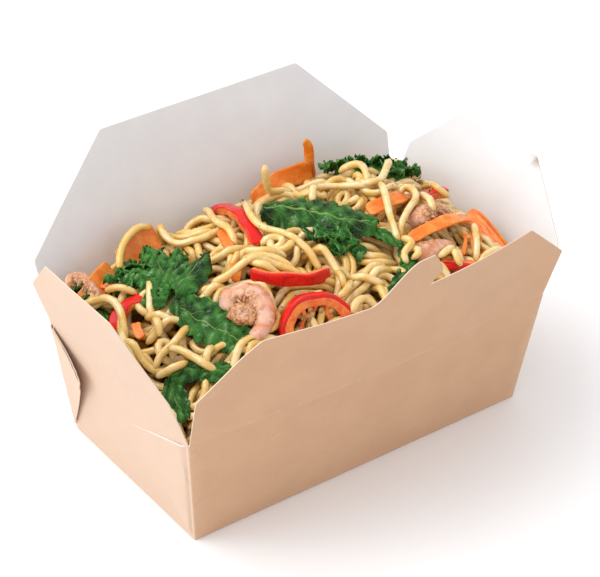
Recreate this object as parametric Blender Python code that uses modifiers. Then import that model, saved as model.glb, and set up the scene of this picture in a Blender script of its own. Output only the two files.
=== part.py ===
"""Open takeaway box of kraft card, heaped with noodles, prawns, kale, pepper and carrot.

The origin is the centre of the base's underside, +Z is up, and the box's long side runs along X.
The four lid flaps stand open, each turning about the crease at the top of its wall.
"""

import math

import bmesh
import bpy
from mathutils import Matrix, Vector, noise

MM = 0.001

# Card tray: outer sizes at the base and at the crease under the flaps
CARD = 0.45 * MM
BASE_LENGTH = 180.0 * MM
BASE_WIDTH = 98.0 * MM
CREASE_LENGTH = 194.8 * MM
CREASE_WIDTH = 111.8 * MM
CREASE_HEIGHT = 60.1 * MM
CREASE_GAP = 0.3 * MM

# Folded corner webs, lying on the outside of the end walls
WEB_THICKNESS = 2.0 * CARD
WEB_FOOT = 2.0 * MM
WEB_HEAD = 58.3 * MM
WEB_BITE = 0.15 * MM
WEB_INSET = 0.6 * MM

# Lid flaps: lean from upright and the outline's shoulder and top
FLAP_INSET = 0.9 * MM
FRONT_LEAN = math.radians(16.1)
BACK_LEAN = math.radians(17.5)
END_LEAN = math.radians(19.0)
BACK_SHOULDER = (-1.2 * MM, 27.5 * MM)
BACK_TOP = (43.7 * MM, 75.0 * MM)
END_SHOULDER = (1.8 * MM, 24.3 * MM)
END_TOP = (30.6 * MM, 53.8 * MM)
FRONT_SHOULDER = (-1.1 * MM, 27.9 * MM)
FRONT_TOP = (26.0 * MM, 53.9 * MM)
TAB_START = 75.4 * MM
TAB_CREST = 96.8 * MM
TAB_TIP = (104.0 * MM, 73.5 * MM)
TAB_HOOK = ((107.7 * MM, 68.3 * MM), (111.6 * MM, 61.6 * MM), (110.2 * MM, 58.2 * MM))
TAB_NOTCH = (106.2 * MM, 54.2 * MM)
FRONT_BOW = 7.8 * MM
FRONT_BOW_HALF = 80.0 * MM
FRONT_BOW_RISE = 45.0 * MM

# Heap of noodles
HEAP_HALF_LENGTH = 96.0 * MM
HEAP_HALF_WIDTH = 54.4 * MM
HEAP_CELLS = (42, 24)
HEAP_FOOT = 0.95 * MM
HEAP_SHOULDER = 48.0 * MM
FOOD_GAP = 0.8 * MM

# Pepper ring: centre, outer radius, slice thickness, turn, lean and wall, with the angles where it dips in
PEPPER_RING = ((-21.8, -42.4, 80.0), 17.2, 6.0, -0.26, 0.35, 4.2)
RING_START, RING_END = 36.0, 142.0

GROUP_NAME = "takeaway_noodle_box"


def clear_scene():
    for item in list(bpy.data.objects):
        bpy.data.objects.remove(item, do_unlink=True)


def new_collection(name):
    group = bpy.data.collections.new(name)
    bpy.context.scene.collection.children.link(group)
    return group


def material(name, colour, roughness, metallic=0.0):
    mat = bpy.data.materials.new(name)
    mat.use_nodes = True
    shader = mat.node_tree.nodes["Principled BSDF"]
    shader.inputs["Base Color"].default_value = (*colour, 1.0)
    shader.inputs["Roughness"].default_value = roughness
    shader.inputs["Metallic"].default_value = metallic
    return mat


def object_from(bm, name, group, mat=None):
    mesh = bpy.data.meshes.new(name)
    bm.to_mesh(mesh)
    bm.free()
    item = bpy.data.objects.new(name, mesh)
    group.objects.link(item)
    if mat is not None:
        mesh.materials.append(mat)
    return item


def add_card_thickness(item):
    solidify = item.modifiers.new("card", "SOLIDIFY")
    solidify.thickness = CARD
    solidify.offset = -1.0
    solidify.use_even_offset = True
    return solidify


def wall_x(z):
    """Outer face of the right end wall at height z."""
    flare = (CREASE_LENGTH - BASE_LENGTH) / 2.0
    return BASE_LENGTH / 2.0 + flare * z / CREASE_HEIGHT


def wall_y(z):
    """Outer face of the back wall at height z."""
    flare = (CREASE_WIDTH - BASE_WIDTH) / 2.0
    return BASE_WIDTH / 2.0 + flare * z / CREASE_HEIGHT


def make_web(name, x_sign, y_sign, tip_along, tip_up, gape, group):
    """A corner's folded web: a double triangle hinged on the corner edge and gaping a little."""
    foot = Vector((x_sign * wall_x(WEB_FOOT), y_sign * (wall_y(WEB_FOOT) - WEB_INSET), WEB_FOOT))
    head = Vector((x_sign * wall_x(WEB_HEAD), y_sign * (wall_y(WEB_HEAD) - WEB_INSET), WEB_HEAD))
    edge = (head - foot).normalized()
    tip = Vector((x_sign * wall_x(tip_up), y_sign * (BASE_WIDTH / 2.0 - tip_along), tip_up))
    outward = edge.cross(tip - foot).normalized()
    if outward.x * x_sign < 0.0:
        outward.negate()
    turn = Matrix.Rotation(gape, 4, edge)
    swung = foot + turn @ (tip - foot)
    if (swung - tip).dot(outward) < 0.0:
        swung = foot + turn.inverted() @ (tip - foot)
        turn.invert()
    out = turn @ outward
    bm = bmesh.new()
    low = [bm.verts.new(point - out * WEB_BITE) for point in (foot, head, swung)]
    face = bm.faces.new(low)
    raised = bmesh.ops.extrude_face_region(bm, geom=[face])["geom"]
    moved = [item for item in raised if isinstance(item, bmesh.types.BMVert)]
    bmesh.ops.translate(bm, verts=moved, vec=out * (WEB_THICKNESS + WEB_BITE))
    bmesh.ops.recalc_face_normals(bm, faces=bm.faces)
    web = object_from(bm, name, group)
    web.hide_render = True
    web.display_type = "WIRE"
    return web


def make_tray(group, cutters, mat):
    """Base and four flared walls of one sheet, with the webs joined to the end walls."""
    bm = bmesh.new()
    bmesh.ops.create_cube(bm, size=1.0)
    rim = CREASE_HEIGHT - CREASE_GAP / 2.0
    for vert in bm.verts:
        z = rim if vert.co.z > 0.0 else 0.0
        x = math.copysign(wall_x(z), vert.co.x)
        y = math.copysign(wall_y(z), vert.co.y)
        vert.co = Vector((x, y, z))
    lid = [face for face in bm.faces if face.normal.z > 0.5]
    bmesh.ops.delete(bm, geom=lid, context="FACES_ONLY")
    tray = object_from(bm, "tray", group, mat)
    add_card_thickness(tray)
    webs = (
        ("web_front_left", -1, -1, 46.0 * MM, 38.8 * MM, math.radians(2.0)),
        ("web_back_left", -1, 1, 27.0 * MM, 47.0 * MM, math.radians(13.0)),
        ("web_front_right", 1, -1, 40.0 * MM, 41.0 * MM, math.radians(3.0)),
        ("web_back_right", 1, 1, 40.0 * MM, 41.0 * MM, math.radians(4.0)),
    )
    for name, x_sign, y_sign, along, up, gape in webs:
        web = make_web(name, x_sign, y_sign, along, up, gape, cutters)
        union = tray.modifiers.new(name, "BOOLEAN")
        union.operation = "UNION"
        union.solver = "EXACT"
        union.object = web
    return tray


def chamfered_outline(length, shoulder, top):
    """Half of a flap's outline is mirrored: crease, slanting shoulder and a level top."""
    left = [(-length / 2.0 + FLAP_INSET, CREASE_GAP / 2.0)]
    left.append((-length / 2.0 + shoulder[0], shoulder[1]))
    left.append((-length / 2.0 + top[0], top[1]))
    return left + [(-x, z) for x, z in reversed(left)]


def front_outline():
    """The front flap: a rounded locking tab rises from its top edge and ends in a hooked notch."""
    half = CREASE_LENGTH / 2.0
    points = [(-half + FLAP_INSET, CREASE_GAP / 2.0)]
    points.append((-half + FRONT_SHOULDER[0], FRONT_SHOULDER[1]))
    points.append((-half + FRONT_TOP[0], FRONT_TOP[1]))
    steps = 9
    for index in range(steps + 1):
        t = index / steps
        ease = t * t * (3.0 - 2.0 * t)
        x = TAB_START + (TAB_CREST - TAB_START) * t
        z = FRONT_TOP[1] + (TAB_TIP[1] - FRONT_TOP[1]) * ease
        points.append((-half + x, z))
    for x, z in (TAB_TIP, *TAB_HOOK, TAB_NOTCH):
        points.append((-half + x, z))
    points.append((half - FRONT_TOP[0], FRONT_TOP[1]))
    points.append((half - FRONT_SHOULDER[0], FRONT_SHOULDER[1]))
    points.append((half - FLAP_INSET, CREASE_GAP / 2.0))
    return points


def front_bow(x, z):
    """How far the filled box has pushed the front flap out, at x along the crease and z above it."""
    across = max(0.0, 1.0 - (x / FRONT_BOW_HALF) ** 2) ** 1.2
    rise = min(1.15, max(0.0, z / FRONT_BOW_RISE))
    return FRONT_BOW * across * rise


def make_flap(name, outline, lean, azimuth, hinge, group, mat, bow=None):
    """A flat sheet with its origin on the crease, X along it and Y pointing into the box."""
    bm = bmesh.new()
    face = bm.faces.new([bm.verts.new((x, 0.0, z)) for x, z in outline])
    if face.normal.y > 0.0:
        face.normal_flip()
    if bow is not None:
        cuts = [((x * MM, 0.0, 0.0), (1.0, 0.0, 0.0)) for x in range(-84, 85, 14)]
        cuts += [((0.0, 0.0, z * MM), (0.0, 0.0, 1.0)) for z in (12, 26, 40, 52)]
        for point, normal in cuts:
            parts = bm.verts[:] + bm.edges[:] + bm.faces[:]
            bmesh.ops.bisect_plane(bm, geom=parts, dist=0.02 * MM, plane_co=point, plane_no=normal)
        bmesh.ops.triangulate(bm, faces=bm.faces)
        for vert in bm.verts:
            push = bow(vert.co.x, vert.co.z)
            vert.co += Vector((0.0, -push * math.cos(lean), push * math.sin(lean)))
    flap = object_from(bm, name, group, mat)
    flap.matrix_world = (
        Matrix.Translation(hinge) @ Matrix.Rotation(azimuth, 4, "Z") @ Matrix.Rotation(lean, 4, "X")
    )
    add_card_thickness(flap)
    return flap


def heap_height(x, y):
    """Height of the noodles over the base: a long dome with soft lumps, lower at the left end."""
    u = min(1.0, abs(x) / (97.0 * MM))
    v = min(1.0, abs(y) / (55.0 * MM))
    dome = 25.5 * (1.0 - u ** 3) * (1.0 - 0.55 * v ** 2.5)
    tilt = 5.0 * x / (97.0 * MM) + 3.0 * y / (55.0 * MM)
    lump = noise.noise(Vector((x, y, 0.013)) / (26.0 * MM))
    return (67.5 + dome + tilt + 2.6 * lump) * MM


def heap_top(x, y, reach):
    """Highest noodle surface within reach of a point."""
    best = heap_height(x, y)
    for index in range(8):
        angle = index * math.pi / 4.0
        best = max(best, heap_height(x + reach * math.cos(angle), y + reach * math.sin(angle)))
    return best


def make_heap(group, mat):
    """The noodles as one lump that fills the tray and mounds up between the flaps."""
    bm = bmesh.new()
    bmesh.ops.create_grid(bm, x_segments=HEAP_CELLS[0], y_segments=HEAP_CELLS[1], size=1.0)
    for vert in bm.verts:
        ragged = 1.0 - 0.012 * (1.0 + noise.noise(vert.co * 7.0))
        x = vert.co.x * HEAP_HALF_LENGTH * ragged
        y = vert.co.y * HEAP_HALF_WIDTH * ragged
        vert.co = Vector((x, y, heap_height(x, y)))
    for level in (HEAP_SHOULDER, HEAP_FOOT):
        rim = [edge for edge in bm.edges if edge.is_boundary]
        skirt = bmesh.ops.extrude_edge_only(bm, edges=rim)["geom"]
        inset = CARD + 0.6 * MM
        scale_x = (wall_x(level) - inset) / HEAP_HALF_LENGTH
        scale_y = (wall_y(level) - inset) / HEAP_HALF_WIDTH
        if level == HEAP_FOOT:
            scale_x = (wall_x(HEAP_FOOT) - inset) / (wall_x(HEAP_SHOULDER) - inset)
            scale_y = (wall_y(HEAP_FOOT) - inset) / (wall_y(HEAP_SHOULDER) - inset)
        for item in skirt:
            if isinstance(item, bmesh.types.BMVert):
                item.co = Vector((item.co.x * scale_x, item.co.y * scale_y, level))
    rim = [edge for edge in bm.edges if edge.is_boundary]
    bmesh.ops.holes_fill(bm, edges=rim, sides=0)
    bmesh.ops.recalc_face_normals(bm, faces=bm.faces)
    return object_from(bm, "noodle_heap", group, mat)


def smooth_route(points, step):
    """Evenly spaced points of a Catmull-Rom curve through the given plan points."""
    ends = [points[0] * 2.0 - points[1]] + points + [points[-1] * 2.0 - points[-2]]
    fine = []
    for index in range(1, len(ends) - 2):
        p0, p1, p2, p3 = ends[index - 1:index + 3]
        for sub in range(12):
            t = sub / 12.0
            fine.append(
                0.5 * ((2.0 * p1) + (p2 - p0) * t + (2.0 * p0 - 5.0 * p1 + 4.0 * p2 - p3) * t * t
                       + (3.0 * p1 - p0 - 3.0 * p2 + p3) * t ** 3)
            )
    fine.append(points[-1])
    lengths = [0.0]
    for here, there in zip(fine, fine[1:]):
        lengths.append(lengths[-1] + (there - here).length)
    count = max(2, round(lengths[-1] / step))
    route = []
    place = 0
    for index in range(count + 1):
        want = lengths[-1] * index / count
        while place < len(lengths) - 2 and lengths[place + 1] < want:
            place += 1
        span = lengths[place + 1] - lengths[place]
        route.append(fine[place].lerp(fine[place + 1], (want - lengths[place]) / span))
    return route


def plan_route(points, step):
    """A smooth route through plan points; a third number is how far that point is raised."""
    raised = [(*point, 0.0)[:3] for point in points]
    return smooth_route([Vector((x * MM, y * MM, z * MM)) for x, y, z in raised], step * MM)


def loft(rings, name, group, mat):
    """Closed solid through rings of equal count, capped at both ends."""
    bm = bmesh.new()
    loops = [[bm.verts.new(point) for point in ring] for ring in rings]
    count = len(loops[0])
    for near, far in zip(loops, loops[1:]):
        for index in range(count):
            after = (index + 1) % count
            bm.faces.new((near[index], near[after], far[after], far[index]))
    bm.faces.new(loops[0])
    bm.faces.new(loops[-1])
    bmesh.ops.recalc_face_normals(bm, faces=bm.faces)
    return object_from(bm, name, group, mat)


def side_of(route, index):
    before = route[max(0, index - 1)]
    after = route[min(len(route) - 1, index + 1)]
    ahead = Vector((after.x - before.x, after.y - before.y, 0.0)).normalized()
    return Vector((-ahead.y, ahead.x, 0.0))


def make_bar(name, points, width, height, group, mat, lift=0.0, taper=None, step=4.0, sides=8):
    """A long piece lying on the noodles: an oval section that follows a plan route."""
    route = plan_route(points, step)
    rings = []
    for index, point in enumerate(route):
        t = index / (len(route) - 1)
        grow = taper(t) if taper else 1.0
        wide = width * MM / 2.0 * grow
        tall = height * MM / 2.0 * grow
        across = side_of(route, index)
        floor = heap_top(point.x, point.y, wide * 1.1)
        centre = Vector((point.x, point.y, floor + FOOD_GAP + tall + point.z + lift * MM * t))
        ring = []
        for corner in range(sides):
            angle = 2.0 * math.pi * (corner + 0.5) / sides
            ring.append(centre + across * wide * math.cos(angle)
                        + Vector((0.0, 0.0, tall * math.sin(angle))))
        rings.append(ring)
    return loft(rings, name, group, mat)


def make_leaf(name, points, width, rise, frill, group, mat, step=4.5, lift=0.0):
    """A kale leaf as a thick wavy sheet draped over the noodles, with a frilled outline."""
    route = plan_route(points, step)
    lanes = 5
    rings = []
    for index, point in enumerate(route):
        t = index / (len(route) - 1)
        across = side_of(route, index)
        body = math.sin(math.pi * (0.12 + 0.78 * t)) ** 0.6
        half = width * MM / 2.0 * body
        lower = []
        upper = []
        for lane in range(lanes):
            share = 2.0 * lane / (lanes - 1) - 1.0
            edge = abs(share) > 0.9
            reach = half * share
            if edge:
                reach *= 1.0 + frill * noise.noise(Vector((index * 1.7, share * 3.1, width)))
            spot = point + across * reach
            floor = heap_top(spot.x, spot.y, 2.2 * MM) + FOOD_GAP + lift * MM
            wave = 0.5 + 0.5 * noise.noise(Vector((index * 0.9, lane * 1.3, rise)))
            thick = 1.4 * MM if edge else (1.4 + rise * wave) * MM
            lower.append(Vector((spot.x, spot.y, floor)))
            upper.append(Vector((spot.x, spot.y, floor + thick)))
        rings.append(lower + upper[::-1])
    return loft(rings, name, group, mat)


def make_arch(name, group, mat):
    """A ring cut across a pepper, standing in the noodles so that only its upper part shows."""
    centre, outer, thick, turn, lean, wall = PEPPER_RING
    level = Vector((math.cos(turn), math.sin(turn), 0.0))
    back = Vector((-math.sin(turn), math.cos(turn), 0.0))
    high = back * math.sin(lean) + Vector((0.0, 0.0, math.cos(lean)))
    out = level.cross(high)
    rings = []
    steps = 18
    for index in range(steps + 1):
        angle = math.radians(RING_START + (RING_END - RING_START) * index / steps)
        ray = level * math.cos(angle) + high * math.sin(angle)
        ring = []
        for across, deep in ((1, -0.5), (1, 0.5), (0.6, 1), (-0.6, 1), (-1, 0.5), (-1, -0.5), (-0.6, -1), (0.6, -1)):
            ring.append(Vector(centre) * MM + ray * (outer - wall / 2.0 + deep * wall / 2.0) * MM
                        + out * across * thick / 2.0 * MM)
        rings.append(ring)
    return loft(rings, name, group, mat)


def make_prawn(name, points, girth, group, mat):
    """A shelled prawn: thick behind the head, waisted at each segment and thin at the tail."""
    def taper(t):
        body = 1.0 - 0.55 * t ** 1.6
        head = min(1.0, 0.55 + 3.0 * t)
        return body * head * (1.0 + 0.05 * math.cos(12.0 * math.pi * t))
    return make_bar(name, points, girth, girth * 0.86, group, mat, taper=taper, step=2.6)


def make_toppings(group, mats):
    prawn, kale, pepper, carrot = mats
    make_prawn("prawn_front", [(-47, -16, 0), (-42.5, -18.5, 0), (-41, -25, 0), (-42.5, -31, 0), (-46.5, -34, 0)],
               11.5, group, prawn)
    make_prawn("prawn_right", [(52, -16.5), (60, -12.5), (68, -11.5), (75, -13)], 11.5, group, prawn)
    make_prawn("prawn_right_low", [(41, -33), (47, -33.5), (54, -33.5), (60, -32.5)], 9.5, group, prawn)
    make_prawn("prawn_left", [(-84, 48, 4), (-83.5, 42, 3), (-83, 36, 1.5), (-82, 29.5, 0)], 8.0, group, prawn)

    def crescent(t):
        return 0.45 + 0.55 * math.sin(math.pi * min(1.0, max(0.0, t)))
    slices = (
        ("pepper_back", [(-14, 51, 1), (-9.5, 48, 2), (-9.5, 40, 2), (-11.5, 30, 2), (-14.5, 19, 2), (-17, 8, 0)], 7.6, 4.4),
        ("pepper_middle", [(-33, -9), (-29, -17, 1), (-23, -22, 1), (-16, -25, 1), (-9, -25.5, 1), (-2, -24)], 4.6, 6.6),
        ("pepper_left", [(-88, 14), (-84, 17.5, 1), (-78.5, 18.5, 1), (-72.5, 15.5)], 7.0, 4.6),
        ("pepper_right", [(74, 6), (82, 8, 1), (88, 9.5, 2.5), (92, 10, 3.5)], 5.0, 5.0),
        ("pepper_low_right", [(50, -41), (55, -43.5), (60, -45.5), (66, -47.5)], 5.6, 4.4),
    )
    for name, points, width, height in slices:
        make_bar(name, points, width, height, group, pepper, taper=crescent)
    make_arch("pepper_front", group, pepper)

    ribbons = (
        ("carrot_back_left", [(-61, 50, 1), (-56, 51.3, 2), (-50, 51.5, 2), (-44, 51, 1)], 3.0, 9.0),
        ("carrot_far_left", [(-77, 49, 3), (-72, 50, 2.5), (-66, 51, 2)], 3.0, 7.0),
        ("carrot_left", [(-77, 41.5, 1), (-75.5, 38, 0.5), (-74.5, 34.5, 0)], 3.6, 2.2),
        ("carrot_left_low", [(-81, 9, 0), (-82, 5.5, 0.5), (-83, 1, 0)], 4.2, 2.2),
        ("carrot_back", [(8, 47.5, -1), (16, 49.5, 0), (25, 50.5, 1), (32, 50.5, 1.2), (38, 50.2, 1)], 3.0, 8.5),
        ("carrot_middle", [(42, 0, 1), (48, -0.5, 1.5), (54, 0, 1.5), (63, 4, 1)], 6.5, 3.0),
        ("carrot_right", [(42.5, -24.5, 5), (51, -24.5, 6), (60, -24, 6), (70, -22.5, 6), (81, -18.5, 5)], 6.0, 2.6),
        ("carrot_end_a", [(89.5, -9, 3), (89.3, -18, 3.5), (88, -28, 2), (86.5, -37, 0)], 8.5, 3.0),
        ("carrot_end_b", [(77, -26, 1), (74, -33, 1), (70, -40, 0)], 5.0, 3.0),
        ("carrot_centre", [(-24, 27, 0), (-27.5, 18, 0.5), (-29.5, 10, 0.5), (-33, 2, 0.5), (-38.5, -5, 0)], 5.0, 2.6),
    )
    for name, points, width, height in ribbons:
        make_bar(name, points, width, height, group, carrot)
    make_bar("carrot_upright", [(43.4, 51), (42.1, 51), (40.8, 51)], 3.6, 4.0, group, carrot, lift=17.0, step=0.7)

    leaves = (
        ("kale_cluster", [(-63, 43), (-59, 35), (-54, 28), (-53, 18)], 24.0, 9.0, 0.2),
        ("kale_lobe", [(-60, 7), (-53, 8), (-46, 9), (-41, 8)], 13.0, 5.0, 0.1),
        ("kale_long", [(-61, -3), (-59, -14), (-59, -26), (-58, -40)], 14.5, 3.0, 0.12),
        ("kale_middle", [(3, 35), (9, 25), (15, 16), (24, 9), (31, 2), (34, -8), (34, -19)], 13.0, 5.0, 0.2),
        ("kale_bunch", [(11, -4), (14, -10), (18, -17)], 13.0, 8.0, 0.3),
        ("kale_strip", [(34, -24), (34, -31), (28, -38), (19, -43), (9, -47)], 7.0, 2.5, 0.15),
        ("kale_low_left", [(-87, -24), (-89, -33), (-90, -42)], 7.5, 3.0, 0.2),
        ("kale_low_middle", [(-82, -29), (-76, -30), (-71, -32)], 7.0, 3.0, 0.2),
        ("kale_low_front", [(-78, -40), (-72, -40), (-66, -43)], 6.0, 3.0, 0.2),
        ("kale_far_left", [(-92, 51), (-92, 46), (-91.5, 42)], 5.6, 4.0, 0.2),
        ("kale_left_edge", [(-92, 36), (-91, 29), (-90, 22)], 5.5, 3.0, 0.2),
    )
    for name, points, width, rise, frill in leaves:
        make_leaf(name, points, width, rise, frill, group, kale)
    make_leaf("kale_back", [(57, 43), (67, 42), (77, 39.5), (85, 34), (89, 25)], 13.0, 8.0, 0.25, group, kale, lift=1.0)


def main():
    clear_scene()
    group = new_collection(GROUP_NAME)
    cutters = new_collection("joined_shapes")
    card = material("kraft_card", (0.62, 0.40, 0.24), 0.85)
    noodle = material("noodle", (0.80, 0.60, 0.26), 0.45)
    prawn = material("prawn", (0.75, 0.34, 0.20), 0.4)
    kale = material("kale", (0.03, 0.13, 0.04), 0.4)
    pepper = material("red_pepper", (0.60, 0.02, 0.02), 0.3)
    carrot = material("carrot", (0.75, 0.18, 0.02), 0.45)

    make_tray(group, cutters, card)
    half_length = CREASE_LENGTH / 2.0
    half_width = CREASE_WIDTH / 2.0
    back = chamfered_outline(CREASE_LENGTH, BACK_SHOULDER, BACK_TOP)
    end = chamfered_outline(CREASE_WIDTH, END_SHOULDER, END_TOP)
    make_flap("flap_front", front_outline(), FRONT_LEAN, 0.0,
              Vector((0.0, -half_width, CREASE_HEIGHT)), group, card, bow=front_bow)
    make_flap("flap_back", back, BACK_LEAN, math.pi,
              Vector((0.0, half_width, CREASE_HEIGHT)), group, card)
    make_flap("flap_right", end, END_LEAN, math.pi / 2.0,
              Vector((half_length, 0.0, CREASE_HEIGHT)), group, card)
    make_flap("flap_left", end, END_LEAN, -math.pi / 2.0,
              Vector((-half_length, 0.0, CREASE_HEIGHT)), group, card)
    make_heap(group, noodle)
    make_toppings(group, (prawn, kale, pepper, carrot))


main()
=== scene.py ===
"""Open kraft takeaway box heaped with noodles, prawns, kale, red pepper and carrot.

Run inside Blender 4.5. Sizes in the functions are millimetres on the box, with the origin at the
centre of the base's underside, +Z up and the long side of the box along X.
"""

from math import atan2, copysign, cos, exp, hypot, pi, radians, sin, sqrt, tan

import bmesh
import bpy
import numpy as np
from bpy.props import FloatProperty, FloatVectorProperty, IntProperty, PointerProperty
from bpy.types import Operator, Panel, PropertyGroup
from mathutils import Matrix, Vector, geometry, noise


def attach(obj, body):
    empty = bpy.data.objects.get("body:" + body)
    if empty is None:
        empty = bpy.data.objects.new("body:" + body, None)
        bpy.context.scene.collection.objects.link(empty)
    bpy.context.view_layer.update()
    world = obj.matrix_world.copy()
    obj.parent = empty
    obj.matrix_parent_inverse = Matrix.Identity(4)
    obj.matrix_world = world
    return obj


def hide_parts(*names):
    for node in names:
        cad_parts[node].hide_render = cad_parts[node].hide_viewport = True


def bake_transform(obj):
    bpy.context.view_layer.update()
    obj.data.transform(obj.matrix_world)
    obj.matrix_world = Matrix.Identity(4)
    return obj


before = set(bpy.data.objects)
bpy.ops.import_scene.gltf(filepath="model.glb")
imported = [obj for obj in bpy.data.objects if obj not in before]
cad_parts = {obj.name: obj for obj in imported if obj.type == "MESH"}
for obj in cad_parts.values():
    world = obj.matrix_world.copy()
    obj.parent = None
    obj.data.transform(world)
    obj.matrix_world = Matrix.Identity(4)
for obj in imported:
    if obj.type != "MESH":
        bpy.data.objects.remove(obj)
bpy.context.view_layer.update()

bl_info = {
    "name": "Takeaway noodle box",
    "version": (1, 0, 0),
    "blender": (4, 5, 0),
    "location": "3D View > Sidebar > Noodle Box",
    "description": "Builds an open kraft food box filled with noodles and toppings",
    "category": "Add Mesh",
}

MM = 0.001

# ---------------------------------------------------------------- card box, millimetres
# Length and depth at the base and at the creases, and how high the creases lie
BASE = (180.0, 98.0)
CREASE = (194.8, 111.8)
CREASE_HEIGHT = 60.1
# The strip of wall that is one sheet with a flap, and how far a flap's ends lie inside the corners
STRIP = 1.5
FLAP_INSET = 0.9
FRONT_LEAN, BACK_LEAN, END_LEAN = (radians(angle) for angle in (16.1, 17.5, 19.0))
# Outlines: the shoulder and the end of the top edge, each from the crease's end inwards and up
BACK_OUTLINE = ((-1.2, 27.5), (43.7, 75.0))
END_OUTLINE = ((1.8, 24.3), (30.6, 53.8))
FRONT_OUTLINE = ((-1.1, 27.9), (26.0, 53.9))
# The locking tab of the front flap: its S-shaped rise and then its hook, from the crease's left end
TAB_START, TAB_CREST, TAB_HIGH = 75.4, 96.8, 73.5
TAB_POINTS = ((104.0, 73.5), (107.7, 68.3), (111.6, 61.6), (110.2, 58.2), (106.2, 54.2))
# How far the front flap is bowed out, over what half length and up to what height
FRONT_BOW, FRONT_BOW_HALF, FRONT_BOW_RISE = 7.8, 80.0, 45.0
# Each corner gusset: its end and side, the fold's tip along the end wall and up, how far it gapes in
# degrees, how crumpled its tip is and how flat it is pressed (a single layer over 0.5)
WEBS = {
    "web_front_left": (-1, -1, 46.0, 38.8, 0.6, 0.0, 0.85),
    "web_back_left": (-1, 1, 27.0, 47.0, 10.0, 0.8, 0.0),
    "web_front_right": (1, -1, 40.0, 41.0, 2.0, 0.2, 0.4),
    "web_back_right": (1, 1, 40.0, 41.0, 4.0, 0.5, 0.2),
}

# Levels of the tray's walls, the radius of its corners, and how far apart a flap's points lie
WALL_LEVELS = (0.5, 1.2, 2.2, 4.0, 7.0, 11.0, 16.0, 22.0, 28.0, 34.0, 40.0, 46.0, 52.0, 56.0)
CORNER_RADIUS = 0.9
FLAP_GRID, FLAP_EDGE, FLAP_CORNER = 4.5, 5.0, 1.2
# The scuffed corner of the right flap: its place along and above the crease, and its spread both ways
SCUFF = (-25.6, 52.4, 1.5, 2.6)

# ---------------------------------------------------------------- heap, millimetres
HEAP_HALF = (97.0, 55.0)
HEAP_LOW, HEAP_DOME, HEAP_TILT = 67.5, 25.5, (5.0, 3.0)
LUMP_WIDTH, LUMP_RISE = 26.0, 2.6
# The bed for the strands: its low corner, its cells and how far it starts under the heap's outline
BED_LOW, BED_CELLS, BED_HOLLOW = (-99.0, -58.0), (199, 117), 11.0
CORE_HALF, CORE_UNDER = (90.8, 49.2), 12.0
# Half sizes that strands keep within: while they wander, in bundles, and against the walls
WANDER_HALF, BUNDLE_HALF, WALL_HALF = (93.2, 52.0), (93.4, 52.2), (93.3, 52.1)
STRAND_STEP, STRAND_CUT, STRAND_SIDES = 2.4, 1.9, 8
# Loose strands near this corner, from these x and y on, may not cross a topping
CLEAR_CORNER = (46.0, 26.0)
# How far the strands along the long walls and the end walls reach, and their lowest and highest level
SIDE_REACH, SIDE_LOW, SIDE_HIGH = (91.5, 49.5), 57.0, 86.0

# ---------------------------------------------------------------- stage
# The floor's half size and how far it lies under the box, in millimetres
FLOOR_HALF, FLOOR_DROP = 3000.0, 0.05
# The rest in metres and degrees
# The camera's place, and how far it is turned round, tipped down and rolled
CAMERA_PLACE, CAMERA_TURN = (-0.5091, -0.6828, 0.6533), (-36.73, 34.446, 1.095)
# Each lamp: place, size, share of the key light's power and colour
LAMPS = {
    "window_side": ((-0.45, 0.45, 1.35), 1.05, 1.1, (1.0, 0.985, 0.97)),
    "left_reflector": ((-1.3, 0.35, 0.45), 1.0, 0.9, (0.82, 0.95, 1.0)),
}
LAMP_AIM = (0.0, 0.0, 0.06)

# ---------------------------------------------------------------- food, plan routes in millimetres
# Each prawn: route with how far it is raised, girth, seasoning and size of what fills its curl
PRAWN_PLATES = 6.0
PRAWNS = {
    "prawn_front": (((-51, -17.5, -3), (-46, -15.8, -1.2), (-41.3, -19, -0.5), (-39.8, -25, -0.5),
                     (-41.5, -31, -0.5), (-46, -34.8, -1), (-51, -34.5, -3)), 13.5, 0.1, 8.2),
    "prawn_right": (((52, -18, -1), (60, -14, 0), (68, -12.5, 0), (75, -14, -1)), 12.0, 0.8, 0.0),
    "prawn_right_low": (((40.5, -31.5, -2), (47, -32, -1), (54, -32, -1), (60.5, -31, -3)), 10.5, 0.8, 0.0),
    "prawn_left": (((-90, 49, 6), (-86.5, 50.5, 6.5), (-83.5, 47, 5), (-83, 40, 2.5), (-83, 33, 0)),
                    7.5, 0.5, 0.0),
}
# Each pepper slice: route with how far it is raised, width, height and how far the skin side is turned up
PEPPERS = {
    "pepper_back": (((-14, 51, 1), (-9.5, 48, 2), (-9.5, 40, 2), (-11.5, 30, 2), (-14.5, 19, 2),
                     (-17, 8, 0)), 7.4, 4.4, 1.2),
    "pepper_middle": (((-33, -9, 1), (-29, -17, 2), (-23, -22, 2), (-16, -25, 2), (-9, -25.5, 2),
                       (-2, -24, 1)), 3.2, 6.6, 0.15),
    "pepper_left": (((-88, 14, 0), (-84, 17.5, 1), (-78.5, 18.5, 1), (-72.5, 15.5, 0)), 7.0, 4.6, 1.3),
    "pepper_right": (((74, 6, 0), (82, 8, 1.0), (88, 9.5, 2.5), (92.5, 10, 3.5)), 5.0, 5.0, 1.2),
    "pepper_low_right": (((49, -38.5, -1), (54, -41, 0), (60, -44, 0), (66, -46, -1)), 6.0, 4.4, 0.6),
}
# The ring of pepper that stands in the noodles: centre, outer radius, wall, slice thickness, turn and lean
PEPPER_RING = ((-21.8, -42.4, 80.0), 17.2, 5.6, 6.0, -0.26, 0.35)
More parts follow.
